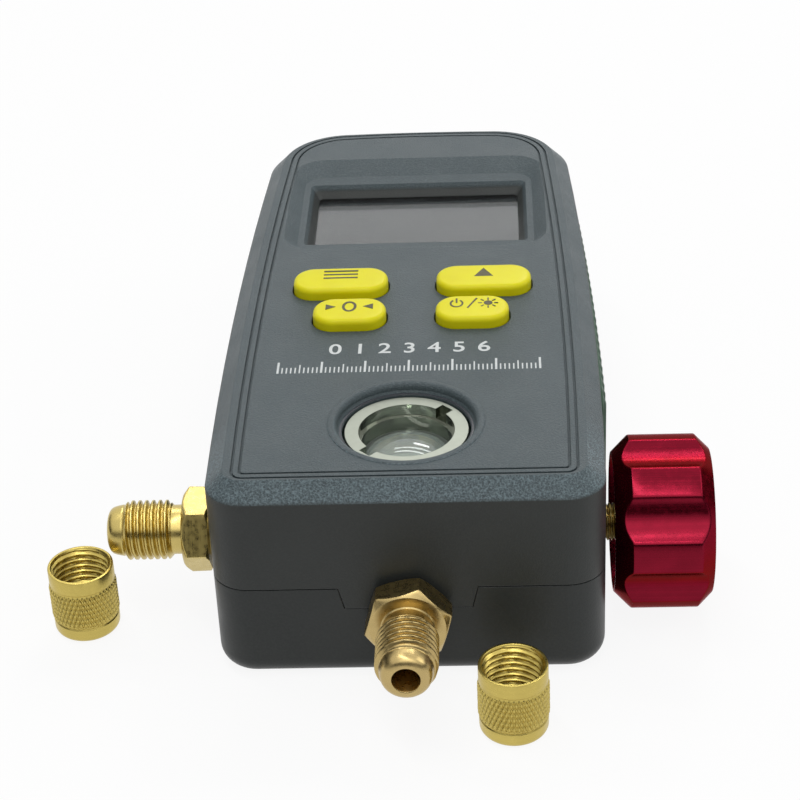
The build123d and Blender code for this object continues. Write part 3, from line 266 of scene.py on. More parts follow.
def rubber(name, colours, dust, gloss, roughness, grain, depth, **more):
    """Rubber with rounded edges. dust is the colours' mask from 0 to 1."""
    f = Finish(name)
    f.set(Base_Color=f.blend(dust(f), *colours), Roughness=f.spread(f.noise(*gloss), *roughness),
          Normal=f.bump(f.noise(*grain), depth, f.rounded(0.2)), **more)
    return f


def ring_finish():
    """Nickel of the sight ring, bright in its bore and matt on its face."""
    f = turned_metal("nickel_ring", (0.283, 0.300, 0.255), 0.2, (900, 900, 900), 0.001, tint=0.05)
    ragged = f.math("MULTIPLY", f.noise(900, 3), 0.02 * MM)
    height = f.math("ADD", f.parts_of(f.coordinates)[2], ragged)
    f.set(Roughness=f.band(height, 0.06, 0.42, (39.05, 39.1)))
    return f


def glass_finishes():
    """The sight glass, the display window and the display behind it."""
    sight = Finish("sight_glass")
    clouds = sight.spread(sight.noise(120), 0, 1)
    sight.set(Base_Color=sight.blend(clouds, (0.76, 0.86, 0.80), (0.81, 0.90, 0.85)),
              Roughness=sight.spread(sight.noise(1500, 3), 0.01, 0.05),
              Transmission_Weight=0.8, IOR=1.52)
    window = Finish("window_acrylic")
    clouds = window.spread(window.noise(60), 0, 1)
    window.set(Base_Color=window.blend(clouds, (0.90, 0.92, 0.92), (0.95, 0.96, 0.96)),
               Roughness=window.spread(window.noise(300, 4), 0.02, 0.07),
               Transmission_Weight=1.0, IOR=1.36)
    display = Finish("display_glass")
    bands = display.spread(display.noise(1.0, 2, display.stretched(14, 150, 14)), 0, 1)
    display.set(Base_Color=display.blend(bands, (0.016, 0.019, 0.020), (0.036, 0.041, 0.044)),
                Roughness=display.spread(display.noise(600, 3), 0.16, 0.24),
                Coat_Weight=0.1, Coat_Roughness=0.10)
    return {"clear_glass": sight, "clear_window": window, "lcd_glass": display}


def board_finish():
    """Green solder mask with the copper tracks under it."""
    f = Finish("solder_mask")
    tracks = f.spread(f.noise(900, 1, f.stretched(1, 0.15, 1)), 0, 1, 0.48, 0.52)
    f.set(Base_Color=f.blend(tracks, (0.01, 0.12, 0.045), (0.02, 0.20, 0.08)), Roughness=0.3,
          Normal=f.bump(tracks, 0.03))
    return f


def make_finishes():
    """Every material by the name of its slot or look."""
    made = {
        # face: the top's colour is partly painted light from above, and the walls' colour is partly
        # painted shade.
        "case_plastic": moulded("slate_plastic", (0.036, 0.040, 0.038), 4200, 0.13, 0.40,
                                face=(0.055, 0.074, 0.081), specular=0.32),
        "back_plastic": moulded("charcoal_plastic", (0.036, 0.040, 0.039), 3000, 0.02, 0.38,
                                specular=0.28),
        "lip_plastic": moulded("blue_black_plastic", (0.022, 0.026, 0.034), 3300, 0.03, 0.30),
        "black_plastic": moulded("black_plastic", (0.018, 0.018, 0.019), 3000, 0.010, 0.45,
                                 wear=0.2),
        "white_plastic": moulded("milky_plastic", (0.78, 0.78, 0.74), 2500, 0.005, 0.35, wear=0.0),
        "grip_rubber": rubber("green_rubber", ((0.005, 0.060, 0.020), (0.013, 0.092, 0.036)),
                              lambda f: f.spread(f.noise(700, 4), 0, 1, 0.45, 0.75),
                              (400, 3), (0.5, 0.68), (4200, 3), 0.02, Sheen_Weight=0.15),
        "key_rubber": rubber("yellow_rubber", ((0.82, 0.74, 0.003), (0.86, 0.80, 0.005)),
                             lambda f: f.spread(f.noise(160, 3), 0, 1),
                             (500, 3), (0.34, 0.44), (3000, 3), 0.010, Subsurface_Weight=0.3,
                             Subsurface_Radius=(0.0012, 0.0009, 0.0003), Specular_IOR_Level=0.25),
        "grey_rubber": even("grey_silicone", ((0.20, 0.21, 0.22), (0.27, 0.28, 0.29)),
                            (200, 3), (500,), (0.5, 0.65), (3000,), 0.01),
        "seal_rubber": even("black_nitrile", ((0.012, 0.012, 0.012), (0.03, 0.03, 0.03)),
                            (500,), (800,), (0.45, 0.6), (3000,), 0.01),
        "cell_jacket": even("cell_sleeve", ((0.10, 0.11, 0.12), (0.14, 0.15, 0.16)),
                            (90,), (400,), (0.25, 0.35), (400,), 0.01),
        "brass": turned_metal("brass_plain", (0.58, 0.43, 0.17), 0.28, (700, 700, 700), 0.002),
        "brass_front": turned_metal("brass_front", (0.50, 0.375, 0.160), 0.25, (60, 4200, 60),
                                    0.0012, tint=0.07),
        "brass_left": turned_metal("brass_left", (0.56, 0.44, 0.150), 0.26, (4200, 60, 60),
                                   0.0012, tint=0.07),
        "brass_cap": turned_metal("brass_cap", (0.56, 0.44, 0.120), 0.27, (60, 60, 4200),
                                  0.0012, tint=0.07),
        "brass_stem": turned_metal("brass_stem", (0.50, 0.37, 0.13), 0.26, (4200, 60, 60), 0.002),
        "red_anodised": turned_metal("crimson_anodised", (0.185, 0.005, 0.018), 0.22,
                                     (30, 3200, 3200), 0.0035, tint=0.18, edge=0.15),
        "nickel": turned_metal("nickel_plate", (0.52, 0.53, 0.48), 0.15, (700, 700, 5200),
                               0.001, tint=0.06),
        "nickel_ring": ring_finish(),
        "steel": turned_metal("zinc_steel", (0.58, 0.58, 0.57), 0.30, (900, 900, 900),
                              0.004, tint=0.06),
        "board_green": board_finish(),
        **glass_finishes()}
    made["red_anodised"].set(Coat_Weight=0.08, Coat_Roughness=0.2, Specular_Tint=(0.45, 0.12, 0.14))
    prints = {"white_print": (0.66, 0.69, 0.69), "dark_print": (0.060, 0.055, 0.012)}
    for name, colour in prints.items():
        made[name] = even(name, shades(colour, 0.06), (900, 3), (1500,), (0.45, 0.6), (6000,),
                          0.006)
    return {key: value.material for key, value in made.items()}


FINISH = make_finishes()
SLOT_OF = {part["node"]: part["material_slot"] for part in frame["record"]["subparts"]}
LOOK_OF = {**SLOT_OF, "sight_ring": "nickel_ring"}
for node_name, node_object in NODES.items():
    node_object.data.materials.clear()
    node_object.data.materials.append(FINISH[LOOK_OF[node_name]])


# ---------------------------------------------------------------- mesh helpers
def piece(name, vertices, faces, body, finish, slot, sharp=32.0):
    """A mesh object from points in millimetres, smooth except at edges sharper than the angle."""
    mesh = bpy.data.meshes.new(name)
    mesh.from_pydata([tuple(c * MM for c in v) for v in vertices], [], faces)
    mesh.validate()
    mesh.polygons.foreach_set("use_smooth", [True] * len(mesh.polygons))
    mesh.set_sharp_from_angle(angle=math.radians(sharp))
    mesh.materials.append(FINISH[finish])
    made = bpy.data.objects.new(name, mesh)
    bpy.context.scene.collection.objects.link(made)
    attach(made, body)
    return made


def revolve(rows, count, origin, axes, start=0.0, closed=True):
    """Rows of (height, radius), each a number or a function of the angle, turned about an axis.
    A closed profile joins its last row to its first; an open one ends in two flat faces."""
    origin, (ex, ey, ez) = Vector(origin), [Vector(a) for a in axes]
    vertices, faces = [], []
    for height, radius in rows:
        for index in range(count):
            angle = start + TAU * index / count
            h = height(angle) if callable(height) else height
            r = radius(angle) if callable(radius) else radius
            across = ex * (r * math.cos(angle)) + ey * (r * math.sin(angle))
            vertices.append(origin + across + ez * h)
    last = len(rows) if closed else len(rows) - 1
    for row in range(last):
        a, b = row * count, ((row + 1) % len(rows)) * count
        for index in range(count):
            follow = (index + 1) % count
            faces.append((a + index, a + follow, b + follow, b + index))
    if not closed:
        faces.append(tuple(reversed(range(count))))
        faces.append(tuple(range((len(rows) - 1) * count, len(rows) * count)))
    return vertices, faces


def joined(*parts):
    """Several meshes as one."""
    vertices, faces = [], []
    for more_vertices, more_faces in parts:
        base = len(vertices)
        vertices += more_vertices
        faces += [tuple(base + i for i in face) for face in more_faces]
    return vertices, faces


def steps(start, end, count):
    """Evenly spaced values from start to end, both included."""
    return [start + (end - start) * i / count for i in range(count + 1)]


def soft_min(a, b, k):
    """The smaller of two lengths, with the corner between them rounded."""
    h = max(k - abs(a - b), 0.0) / k
    return min(a, b) - h * h * k / 4


def thread_radius(outer, depth, pitch, height, angle, crest=0.24, root=0.14):
    """Radius of a right-hand V thread with a flat crest and root."""
    phase = ((height - pitch * angle / TAU) / pitch) % 1.0
    wave = abs(phase - 0.5) * 2
    fall = min(max((wave - crest) / (1 - crest - root), 0.0), 1.0)
    return outer - depth * (fall * fall * (3 - 2 * fall) * 0.35 + fall * 0.65)


def threaded(height, limit, outer, depth, pitch):
    """Row of an outer thread that is nowhere thicker than limit."""
    return height, lambda a: min(thread_radius(outer, depth, pitch, height, a), limit)


# ---------------------------------------------------------------- flare fittings
HEX_FLATS, HEX_THICK = 14.0, 5.0
HEX_BACK, HEX_FRONT, HEX_ROUND = 0.45, 1.05, 0.2    # height of the turned corners, their rounding
THREAD_START, THREAD_END, FLARE_TIP = 7.2, 16.0, 19.3
FLARE_TIP_R, FLARE_BORE_R, SHANK_R, NECK_R = 2.95, 2.4, 4.85, 4.6
FITTING_SIDES, THREAD_ROWS = 96, 112

# Rounded nose from the thread's end to the tip: height past the thread, radius.
FLARE_NOSE = (
    (0.10, 4.78), (0.30, 4.72), (0.50, 4.80), (1.0, 4.72), (1.6, 4.60), (2.1, 4.46), (2.4, 4.33),
    (2.65, 4.16), (2.85, 3.95), (3.02, 3.70), (3.14, 3.45), (3.22, 3.22))


def hexagon_radius(angle, turn):
    """Radius of the hexagon's outline. At the angle turn it has a corner."""
    local = (angle - turn) % (TAU / 6) - TAU / 12
    return HEX_FLATS / 2 / math.cos(local)


def fitting(name, node, origin, axes, turn, shank, finish):
    """Flare union: shank, hexagon, neck, thread and rounded nose, bored through."""
    flat = HEX_FLATS / 2

    def turned(height, cone):
        """Row of the hexagon with its corners turned down to a cone."""
        return height, lambda a: soft_min(hexagon_radius(a, turn), cone, HEX_ROUND)

    rows = [(-shank, SHANK_R - 0.4), (-shank + 0.4, SHANK_R), (-0.02, SHANK_R)]
    rows += [turned(h, flat + 0.35 + h * 1.4) for h in steps(0.0, HEX_BACK, 4)]
    rows.append((HEX_THICK - HEX_FRONT - 0.15, lambda a: hexagon_radius(a, turn) - 0.02))
    rows += [turned(h, flat - 0.25 + (HEX_THICK - h) * 1.3)
             for h in steps(HEX_THICK - HEX_FRONT, HEX_THICK, 10)]
    rows += [(HEX_THICK + 0.02, flat - 0.75), (HEX_THICK, SHANK_R), (HEX_THICK + 0.2, 4.62),
             (THREAD_START - 0.25, NECK_R), (THREAD_START, 4.66)]
    for h in steps(THREAD_START + 0.05, THREAD_END - 0.05, THREAD_ROWS):
        limit = min(4.7 + (h - THREAD_START) * 1.1, 5.02 + (THREAD_END - h) * 1.0)
        rows.append(threaded(h, max(limit, NECK_R), FLARE_R, FLARE_DEPTH, FLARE_PITCH))
    rows += [(THREAD_END + height, radius) for height, radius in FLARE_NOSE]
    rows += [(FLARE_TIP - 0.03, FLARE_TIP_R + 0.10), (FLARE_TIP, FLARE_TIP_R - 0.05),
             (FLARE_TIP, FLARE_BORE_R + 0.30), (FLARE_TIP - 0.10, FLARE_BORE_R + 0.12),
             (FLARE_TIP - 0.35, FLARE_BORE_R), (-shank, FLARE_BORE_R)]
    vertices, faces = revolve(rows, FITTING_SIDES, origin, axes, start=turn)
    made = piece(name, vertices, faces, "case", finish, "brass", 30)
    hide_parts(node)


fitting("front_fitting_threaded", "front_flare_fitting", FRONT_PORT, TOWARDS_FRONT,
        math.radians(14), 18.05, "brass_front")
fitting("left_fitting_threaded", "left_flare_fitting", LEFT_PORT, TOWARDS_LEFT,
        math.radians(24), 17.0, "brass_left")


# ---------------------------------------------------------------- flare caps
CAP_R, CAP_BAND_R, CAP_HEIGHT, CAP_BORE_R, CAP_FLOOR = 6.3, 6.1, 13.8, 5.0, 2.0
CAP_ROUND, CAP_THREAD_DEPTH, CAP_THREAD_ROWS = 1.3, 0.55, 92
KNURLS, KNURL_DEPTH, KNURL_LOW, KNURL_HIGH = 44, 0.34, 3.2, 10.6
PER_KNURL, KNURL_RISE = 8, 0.26         # columns in a knurl; a row up shifts it by one column
CAP_SIDES = KNURLS * PER_KNURL
KNURL_LEVELS = int((KNURL_HIGH - KNURL_LOW) / KNURL_RISE)


def knurl_row(level):
    """Row of the crossed knurl, which fades out in its first and last two rows."""
    ends = min(level, KNURL_LEVELS - level, 2) / 2

    def radius(angle):
        column = round(angle / TAU * CAP_SIDES)
        one = abs(((column + level) % PER_KNURL) / PER_KNURL - 0.5) * 2
        two = abs(((column - level) % PER_KNURL) / PER_KNURL - 0.5) * 2
        groove = max(max(one, two) - 0.4, 0) / 0.6
        return CAP_R - KNURL_DEPTH * (1 - ends * (1 - groove))
    return KNURL_LOW + level * KNURL_RISE, radius


def flare_cap(name, node):
    """Knurled cap: plain bands at foot and rim, crossed knurl between, thread inside."""
    valley = CAP_R - KNURL_DEPTH - 0.02
    rows = [(0.0, 0.01)]
    for angle in steps(0, QUARTER, 8):
        rows.append((CAP_ROUND * (1 - math.cos(angle)),
                     CAP_BAND_R - CAP_ROUND + CAP_ROUND * math.sin(angle)))
    rows += [(KNURL_LOW - 0.30, CAP_BAND_R), (KNURL_LOW - 0.05, valley)]
    rows += [knurl_row(level) for level in range(KNURL_LEVELS + 1)]
    rows += [(KNURL_HIGH + 0.10, valley), (KNURL_HIGH + 0.32, CAP_BAND_R),
             (CAP_HEIGHT - 0.22, CAP_BAND_R), (CAP_HEIGHT - 0.06, CAP_BAND_R - 0.06),
             (CAP_HEIGHT, CAP_BAND_R - 0.22), (CAP_HEIGHT, CAP_BORE_R + 0.62),
             (CAP_HEIGHT - 0.12, CAP_BORE_R + 0.50)]
    top, bottom = CAP_HEIGHT - 0.25, CAP_FLOOR + 2.0
    for height in steps(top, bottom, CAP_THREAD_ROWS):
        mouth = CAP_BORE_R + 0.45 - (top - height) * 0.9
        rows.append((height, lambda a, h=height, m=mouth: max(
            2 * CAP_BORE_R - thread_radius(CAP_BORE_R, CAP_THREAD_DEPTH, FLARE_PITCH, h, a), m)))
    rows += [(CAP_FLOOR + 1.8, CAP_BORE_R), (CAP_FLOOR + 1.5, CAP_BORE_R - 0.1), (CAP_FLOOR, 0.01)]
    vertices, faces = revolve(rows, CAP_SIDES, CAPS[node], ALONG_Z)
    made = piece(name, vertices, faces, node, "brass_cap", "brass", 28)
    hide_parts(node)


for cap in CAPS:
    flare_cap(cap.replace("_flare", "_knurled"), cap)


# ---------------------------------------------------------------- valve stem and knob
STEM_SHANK_R, STEM_TIP_R, STEM_THREAD_ROWS, STEM_SIDES = 2.6, 2.38, 390, 48


def valve_stem():
    """Stem of the valve, threaded from the bonnet to the knob."""
    start, thread, end, tip = -5.0, 16.5, 40.9, 48.0     # X of the stem's steps
    rows = [(start, STEM_SHANK_R - 0.2), (start + 0.2, STEM_SHANK_R), (thread, STEM_SHANK_R)]
    for x in steps(thread + 0.2, end - 0.1, STEM_THREAD_ROWS):
        limit = min(2.9 + (x - thread) * 1.2, 3.0 + (end - x) * 1.2)
        rows.append(threaded(x, limit, STEM_R, STEM_DEPTH, STEM_PITCH))
    rows += [(end, STEM_TIP_R), (tip, STEM_TIP_R)]
    vertices, faces = revolve(rows, STEM_SIDES, (0, SIDE_Y, SIDE_Z), TOWARDS_RIGHT, closed=False)
    made = piece("threaded_stem", vertices, faces, "valve_knob", "brass_stem", "brass", 40)
    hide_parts("valve_stem")


KNOB_R, KNOB_LENGTH = 16.0, 17.9
KNOB_IN, KNOB_OUT, KNOB_EDGE = 3.1, 2.6, 0.16       # cones at both ends, rounding of their edges
FLUTE_R, FLUTE_DEPTH, FLUTE_EDGE, LOBES, FLUTE_PHASE = 9.5, 1.5, 0.22, 7, 35.0
SIDES_PER_LOBE = 48


def fluted(angle):
    """Radius of the knob's outline: seven round flutes cut into a circle."""
    pitch = TAU / LOBES
    first = math.radians(270 - FLUTE_PHASE)
    local = (angle - first + pitch / 2) % pitch - pitch / 2
    reach = KNOB_R + FLUTE_R - FLUTE_DEPTH
    inside = FLUTE_R ** 2 - (reach * math.sin(local)) ** 2
    if inside <= 0:
        return KNOB_R
    return soft_min(KNOB_R, reach * math.cos(local) - math.sqrt(inside), FLUTE_EDGE)


def knob_rows():
    """Profile of the knob: inner face, flutes, outer face with its dish, and the hollow inside."""
    def turned(height, cone):
        """Row of the flutes turned down to a cone."""
        return height, lambda a: soft_min(fluted(a), cone, KNOB_EDGE)

    end = KNOB_LENGTH
    rows = [(0.02, 12.45), (0.0, 12.6)]
    rows += [turned(h, KNOB_R - KNOB_IN + h) for h in steps(0.02, KNOB_IN, 18)]
    rows += [(h, fluted) for h in steps(KNOB_IN + 0.2, end - KNOB_OUT - 0.2, 6)]
    rows += [turned(h, KNOB_R - KNOB_OUT + end - h) for h in steps(end - KNOB_OUT, end, 16)]
    dish = [(end, 12.8), (end, 8.7), (end - 0.12, 8.52), (end - 0.95, 8.45), (end - 1.0, 8.3)]
    screw_seat = [(end - 1.0, 3.75), (end - 1.1, 3.62), (end - 3.5, 3.6), (end - 3.5, 1.7)]
    hub = [(11.2, 1.7), (11.1, 3.52), (4.1, 3.55), (4.0, 3.7), (4.0, 5.4), (4.15, 5.6)]
    hollow = [(8.8, 5.6), (9.0, 5.8), (9.0, 12.2), (8.8, 12.4), (0.15, 12.4)]
    return rows + dish + screw_seat + hub + hollow


def fluted_knob():
    """The valve's knob."""
    vertices, faces = revolve(knob_rows(), LOBES * SIDES_PER_LOBE, KNOB_PLACE, TOWARDS_RIGHT)
    made = piece("fluted_knob", vertices, faces, "valve_knob", "red_anodised", "red_anodised", 26)
    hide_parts("valve_knob")


valve_stem()
fluted_knob()


# ---------------------------------------------------------------- screws
SCREW_SIDES, CROWN = 64, 0.18           # CROWN is a share of the head's height
CROSS_ARM, CROSS_WIDTH, CROSS_DEPTH = 0.62, 0.26, 0.62      # shares of the head's size


def screw_head(origin, axes, head_r, head_h, shaft_r, shaft_length):
    """Pan head with a cross recess, and its shaft. The origin is the top of the head."""
    def top(ring):
        def height(angle):
            x, y = ring * math.cos(angle), ring * math.sin(angle)
            across, along = min(abs(x), abs(y)), max(abs(x), abs(y))
            half, reach = CROSS_WIDTH * head_r / 2, CROSS_ARM * head_r
            inside = min(max((half - across) / 0.12 + 0.5, 0), 1)
            inside *= min(max((reach - along) / 0.25, 0), 1)
            crown = CROWN * head_h * (1 - (ring / head_r) ** 2)
            return -CROWN * head_h + crown - CROSS_DEPTH * head_h * inside
        return height

    tip = -shaft_length - head_h
    rows = [(tip, shaft_r * 0.6), (tip + 0.5, shaft_r), (-head_h, shaft_r),
            (-head_h, head_r - 0.1), (-head_h + 0.1, head_r), (-0.35 * head_h, head_r),
            (-0.22 * head_h, head_r * 0.96)]
    rows += [(top(ring), ring) for ring in steps(head_r * 0.92, 0.04, 26)]
    return revolve(rows, SCREW_SIDES, origin, axes, closed=False)


def screws(name, node, body, tops, axes, *sizes):
    """All screws of a node. sizes: head radius and height, shaft radius and length."""
    heads = joined(*[screw_head(top, axes, *sizes) for top in tops])
    made = piece(name, *heads, body, "steel", "steel", 30)
    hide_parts(node)


screws("case_screws_crossed", "case_screws", "case",
       [(side * x, y, 6.8) for x, y in ((27.0, -65.9), (23.5, 60.5)) for side in (-1, 1)],
       TOWARDS_BACK, 2.8, 2.2, 1.5, 22.0)
screws("block_screws_crossed", "block_screws", "case",
       [(side * 18.0, -50.5, 0.2) for side in (-1, 1)], TOWARDS_BACK, 2.8, 2.0, 1.5, 7.7)
screws("door_screw_crossed", "battery_door_screw", "case",
       [(0, -20.0, 0.1)], TOWARDS_BACK, 2.0, 1.3, 1.0, 5.6)
screws("knob_screw_crossed", "knob_screw", "valve_knob",
       [(53.7, SIDE_Y, SIDE_Z)], TOWARDS_RIGHT, 3.4, 2.2, 1.5, 6.0)


# ---------------------------------------------------------------- lip round the sight glass
LIP_R, LIP_RISE, LIP_OUT, LIP_IN, LIP_FALL = 14.25, 0.22, 0.75, 1.05, 1.3
LIP_CREST_R = 13.5                      # LIP_R less LIP_OUT
LEDGE = ((39.75, 12.6), (39.75, 12.44), (39.62, 12.36), (39.45, 12.33), (39.45, 11.80),
         (39.35, 11.72), (38.9, 11.72), (38.9, 12.6))


def sight_lip():
    """Rounded lip that the face has round the sight ring, and the ledge inside it."""
    lip = [(40.9, LIP_R)]
    lip += [(FACE_Z + LIP_RISE * math.sin(a), LIP_R - LIP_OUT * (1 - math.cos(a)))
            for a in steps(0, QUARTER, 6)]
    lip += [(FACE_Z + LIP_RISE - LIP_FALL * (1 - math.cos(a)), LIP_CREST_R - LIP_IN * math.sin(a))
            for a in steps(0.12, QUARTER, 9)]
    lip += [(39.6, 12.42), (39.6, 12.9)]
    for name, profile, finish in (("sight_lip", lip, "case_plastic"),
                                  ("sight_ledge", LEDGE, "lip_plastic")):
        vertices, faces = revolve(profile, 128, SIGHT_PLACE, ALONG_Z)
        piece(name, vertices, faces, "case", finish, "case_plastic", 40)


sight_lip()


# ---------------------------------------------------------------- side grips
WIDTH, NEAR_NARROWING, FAR_NARROWING, WIDEST = 71.0, 0.6, 3.6, 58.0
GRIP_NEAR, GRIP_FAR, GRIP_LOW, GRIP_HIGH, GRIP_CORNER = -31.44, 52.44, 8.06, 31.94, 5.0
GRIP_PROUD, GRIP_SEAT, GRIP_EDGE = 0.9, 0.94, 0.5   # out of and into the wall, rounding
RIB_PROUD, RIB_PITCH, RIB_INSET, RIB_FADE = 0.7, 3.2, 2.0, (1.2, 1.6)
GRIP_COLUMNS, GRIP_LEVELS = 525, 26


def side_curve():
    """Centre and radius of the circle that the case's long side follows."""
    (y1, x1), (y2, x2), (y3, x3) = (
        (NEAR, WIDTH / 2 - NEAR_NARROWING), (NEAR + WIDEST, WIDTH / 2),
        (FAR, WIDTH / 2 - FAR_NARROWING))
    s1, s2, s3 = x1**2 + y1**2, x2**2 + y2**2, x3**2 + y3**2
    a = x1 * (y2 - y3) - y1 * (x2 - x3) + x2 * y3 - x3 * y2
    b = s1 * (y3 - y2) + s2 * (y1 - y3) + s3 * (y2 - y1)
    c = s1 * (x2 - x3) + s2 * (x3 - x1) + s3 * (x1 - x2)
    cx, cy = -b / (2 * a), -c / (2 * a)
    return cx, cy, math.hypot(x1 - cx, y1 - cy)


CURVE_X, CURVE_Y, CURVE_R = side_curve()


def half_width(y):
    """Half the case's width at a place along it."""
    return CURVE_X + math.sqrt(CURVE_R**2 - (y - CURVE_Y)**2)


def grip_column(y, side):
    """One upright line of the grip: its outside from foot to top, then its two inner corners."""
    inset = min(y - GRIP_NEAR, GRIP_FAR - y)
    cut = GRIP_CORNER - math.sqrt(max(GRIP_CORNER**2 - max(GRIP_CORNER - inset, 0)**2, 0))
    low, high = GRIP_LOW + cut, GRIP_HIGH - cut
    wave = math.cos(TAU * (y - (GRIP_NEAR + GRIP_FAR) / 2) / RIB_PITCH) * 0.5 + 0.5
    rib = RIB_PROUD * (1 - (1 - wave) ** 1.6) if inset > RIB_INSET else 0.0
    points = []
    for level in range(GRIP_LEVELS + 1):
        z = low + (high - low) * (0.5 - 0.5 * math.cos(math.pi * (level / GRIP_LEVELS)))
        end = min(z - low, high - z)
        edge = min(end, inset)
        round_off = 1.0
        if edge <= GRIP_EDGE:
            round_off = math.sqrt(max(1 - (1 - edge / GRIP_EDGE)**2, 0))
        fade = min(max((end - RIB_FADE[0]) / RIB_FADE[1], 0), 1)
        out = GRIP_PROUD * round_off + rib * fade * fade * (3 - 2 * fade)
        points.append((side * (half_width(y) + out), y, z))
    seat = side * (half_width(y) - GRIP_SEAT)
    return points + [(seat, y, high), (seat, y, low)]


def side_grip(name, node, side):
    """Rubber strip with rounded upright ribs."""
    vertices = []
    for column in range(GRIP_COLUMNS + 1):
        y = GRIP_NEAR + (GRIP_FAR - GRIP_NEAR) * column / GRIP_COLUMNS
        vertices += grip_column(y, side)
    faces = []
    ring = GRIP_LEVELS + 3
    for column in range(GRIP_COLUMNS):
        a, b = column * ring, (column + 1) * ring
        for i in range(ring):
            j = (i + 1) % ring
            faces.append((a + i, b + i, b + j, a + j))
    faces.append(tuple(range(ring)))
    faces.append(tuple(reversed(range(GRIP_COLUMNS * ring, (GRIP_COLUMNS + 1) * ring))))
    if side < 0:
        faces = [tuple(reversed(face)) for face in faces]
    made = piece(name, vertices, faces, "case", "grip_rubber", "grip_rubber", 50)
    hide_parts(node)


side_grip("ribbed_grip_left", "side_grip_left", -1)
side_grip("ribbed_grip_right", "side_grip_right", 1)


# ---------------------------------------------------------------- keys
KEY_TOP, KEY_CORNER, KEY_HALF_Y, KEY_RIM, KEY_CROWN = 43.4, 4.2, 4.7, 1.05, 0.15
FLANGE_LOW, FLANGE_HIGH, FLANGE_OUT = 37.7, 38.5, 1.2
# Middle of each key, and half its length.
KEYS = {"key_upper_left": (-14.175, -2.0, 9.375), "key_upper_right": (14.175, -2.0, 9.375),
        "key_lower_left": (-11.9, -14.5, 7.1), "key_lower_right": (11.9, -14.5, 7.1)}


def rounded_outline(half_x, half_y, corner, per_corner=14):
    """Points round a rectangle with rounded corners."""
    points = []
    for quarter, (sx, sy) in enumerate(((1, 1), (-1, 1), (-1, -1), (1, -1))):
        for i in range(per_corner + 1):
            angle = (quarter + i / per_corner) * math.pi / 2
            points.append((sx * (half_x - corner) + corner * math.cos(angle),
                           sy * (half_y - corner) + corner * math.sin(angle)))
    return points


def rubber_key(node):
    """Rubber key: flange under the face, straight sides, rounded rim and a faintly crowned top."""
    x, y, half_x = KEYS[node]
    shoulder = KEY_TOP - KEY_RIM - KEY_CROWN
    levels = [(FLANGE_LOW, FLANGE_OUT), (FLANGE_HIGH, FLANGE_OUT), (FLANGE_HIGH, 0.0),
              (FLANGE_HIGH + 1.0, 0.0), (shoulder, 0.0)]
    levels += [(shoulder + KEY_RIM * math.sin(a), KEY_RIM * (math.cos(a) - 1))
               for a in steps(0, math.radians(82), 9)]
    outlines = []
    for z, grow in levels:
        corner = max(KEY_CORNER + grow, 0.4)
        outline = rounded_outline(half_x + grow, KEY_HALF_Y + grow, corner)
        outlines.append([(x + px, y + py, z) for px, py in outline])
    top = rounded_outline(half_x - KEY_RIM, KEY_HALF_Y - KEY_RIM, KEY_CORNER - KEY_RIM)
    for share in (0.85, 0.65, 0.4, 0.15):
        z = KEY_TOP - KEY_CROWN * share ** 2
        outlines.append([(x + px * share, y + py * share, z) for px, py in top])
    count, rows = len(top), len(outlines)
    vertices, faces = [point for outline in outlines for point in outline], []
    for row in range(rows - 1):
        low, high = row * count, (row + 1) * count
        for i in range(count):
            j = (i + 1) % count
            faces.append((low + i, low + j, high + j, high + i))
    faces.append(tuple(range((rows - 1) * count, rows * count)))
    faces.append(tuple(reversed(range(count))))
    name = node.replace("key_", "rubber_key_")
    made = piece(name, vertices, faces, node, "key_rubber", "key_rubber", 40)
    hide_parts(node)


for key in KEYS:
    rubber_key(key)


# ---------------------------------------------------------------- printed marks
def bar(x0, y0, x1, y1, width):
    """A straight stroke."""
    along = Vector((x1 - x0, y1 - y0)).normalized() * (width / 2)
    across = Vector((-along.y, along.x))
    return [(x0 + across.x, y0 + across.y), (x0 - across.x, y0 - across.y),
            (x1 - across.x, y1 - across.y), (x1 + across.x, y1 + across.y)]


def arc(cx, cy, rx, ry, start, end, width, count=28):
    """A curved stroke as a chain of short quads."""
    angles = [math.radians(a) for a in steps(start, end, count)]
    half = width / 2
    quads = []
    for a, b in zip(angles, angles[1:]):
        quads.append([(cx + (rx + s) * math.cos(t), cy + (ry + s) * math.sin(t))
                      for s, t in ((half, a), (half, b), (-half, b), (-half, a))])
    return quads


def disc(cx, cy, r, count=24):
    """A filled circle."""
    angles = [TAU * i / count for i in range(count)]
    return [(cx + r * math.cos(a), cy + r * math.sin(a)) for a in angles]


def printed(name, shapes, z, body, finish, slot, thickness=0.03):
    """Flat printed shapes with the thickness of the ink."""
    vertices, faces = [], []
    for shape in shapes:
        area = sum(a[0] * b[1] - b[0] * a[1] for a, b in zip(shape, shape[1:] + shape[:1]))
        outline = shape if area > 0 else list(reversed(shape))
        base, n = len(vertices), len(outline)
        top = base + n
        vertices += [(px, py, z) for px, py in outline]
        vertices += [(px, py, z + thickness) for px, py in outline]
        faces.append(tuple(top + i for i in range(n)))
        faces.append(tuple(base + i for i in reversed(range(n))))
        faces += [(base + i, base + (i + 1) % n, top + (i + 1) % n, top + i) for i in range(n)]
    piece(name, vertices, faces, body, finish, slot, 20)


INK_Z, INK_THICKNESS = KEY_TOP - 0.13, 0.145


def key_mark(key, shapes):
    """A dark print on a key's crowned top."""
    name = key.replace("key_", "mark_")
    printed(name, shapes, INK_Z, key, "dark_print", "key_rubber", INK_THICKNESS)


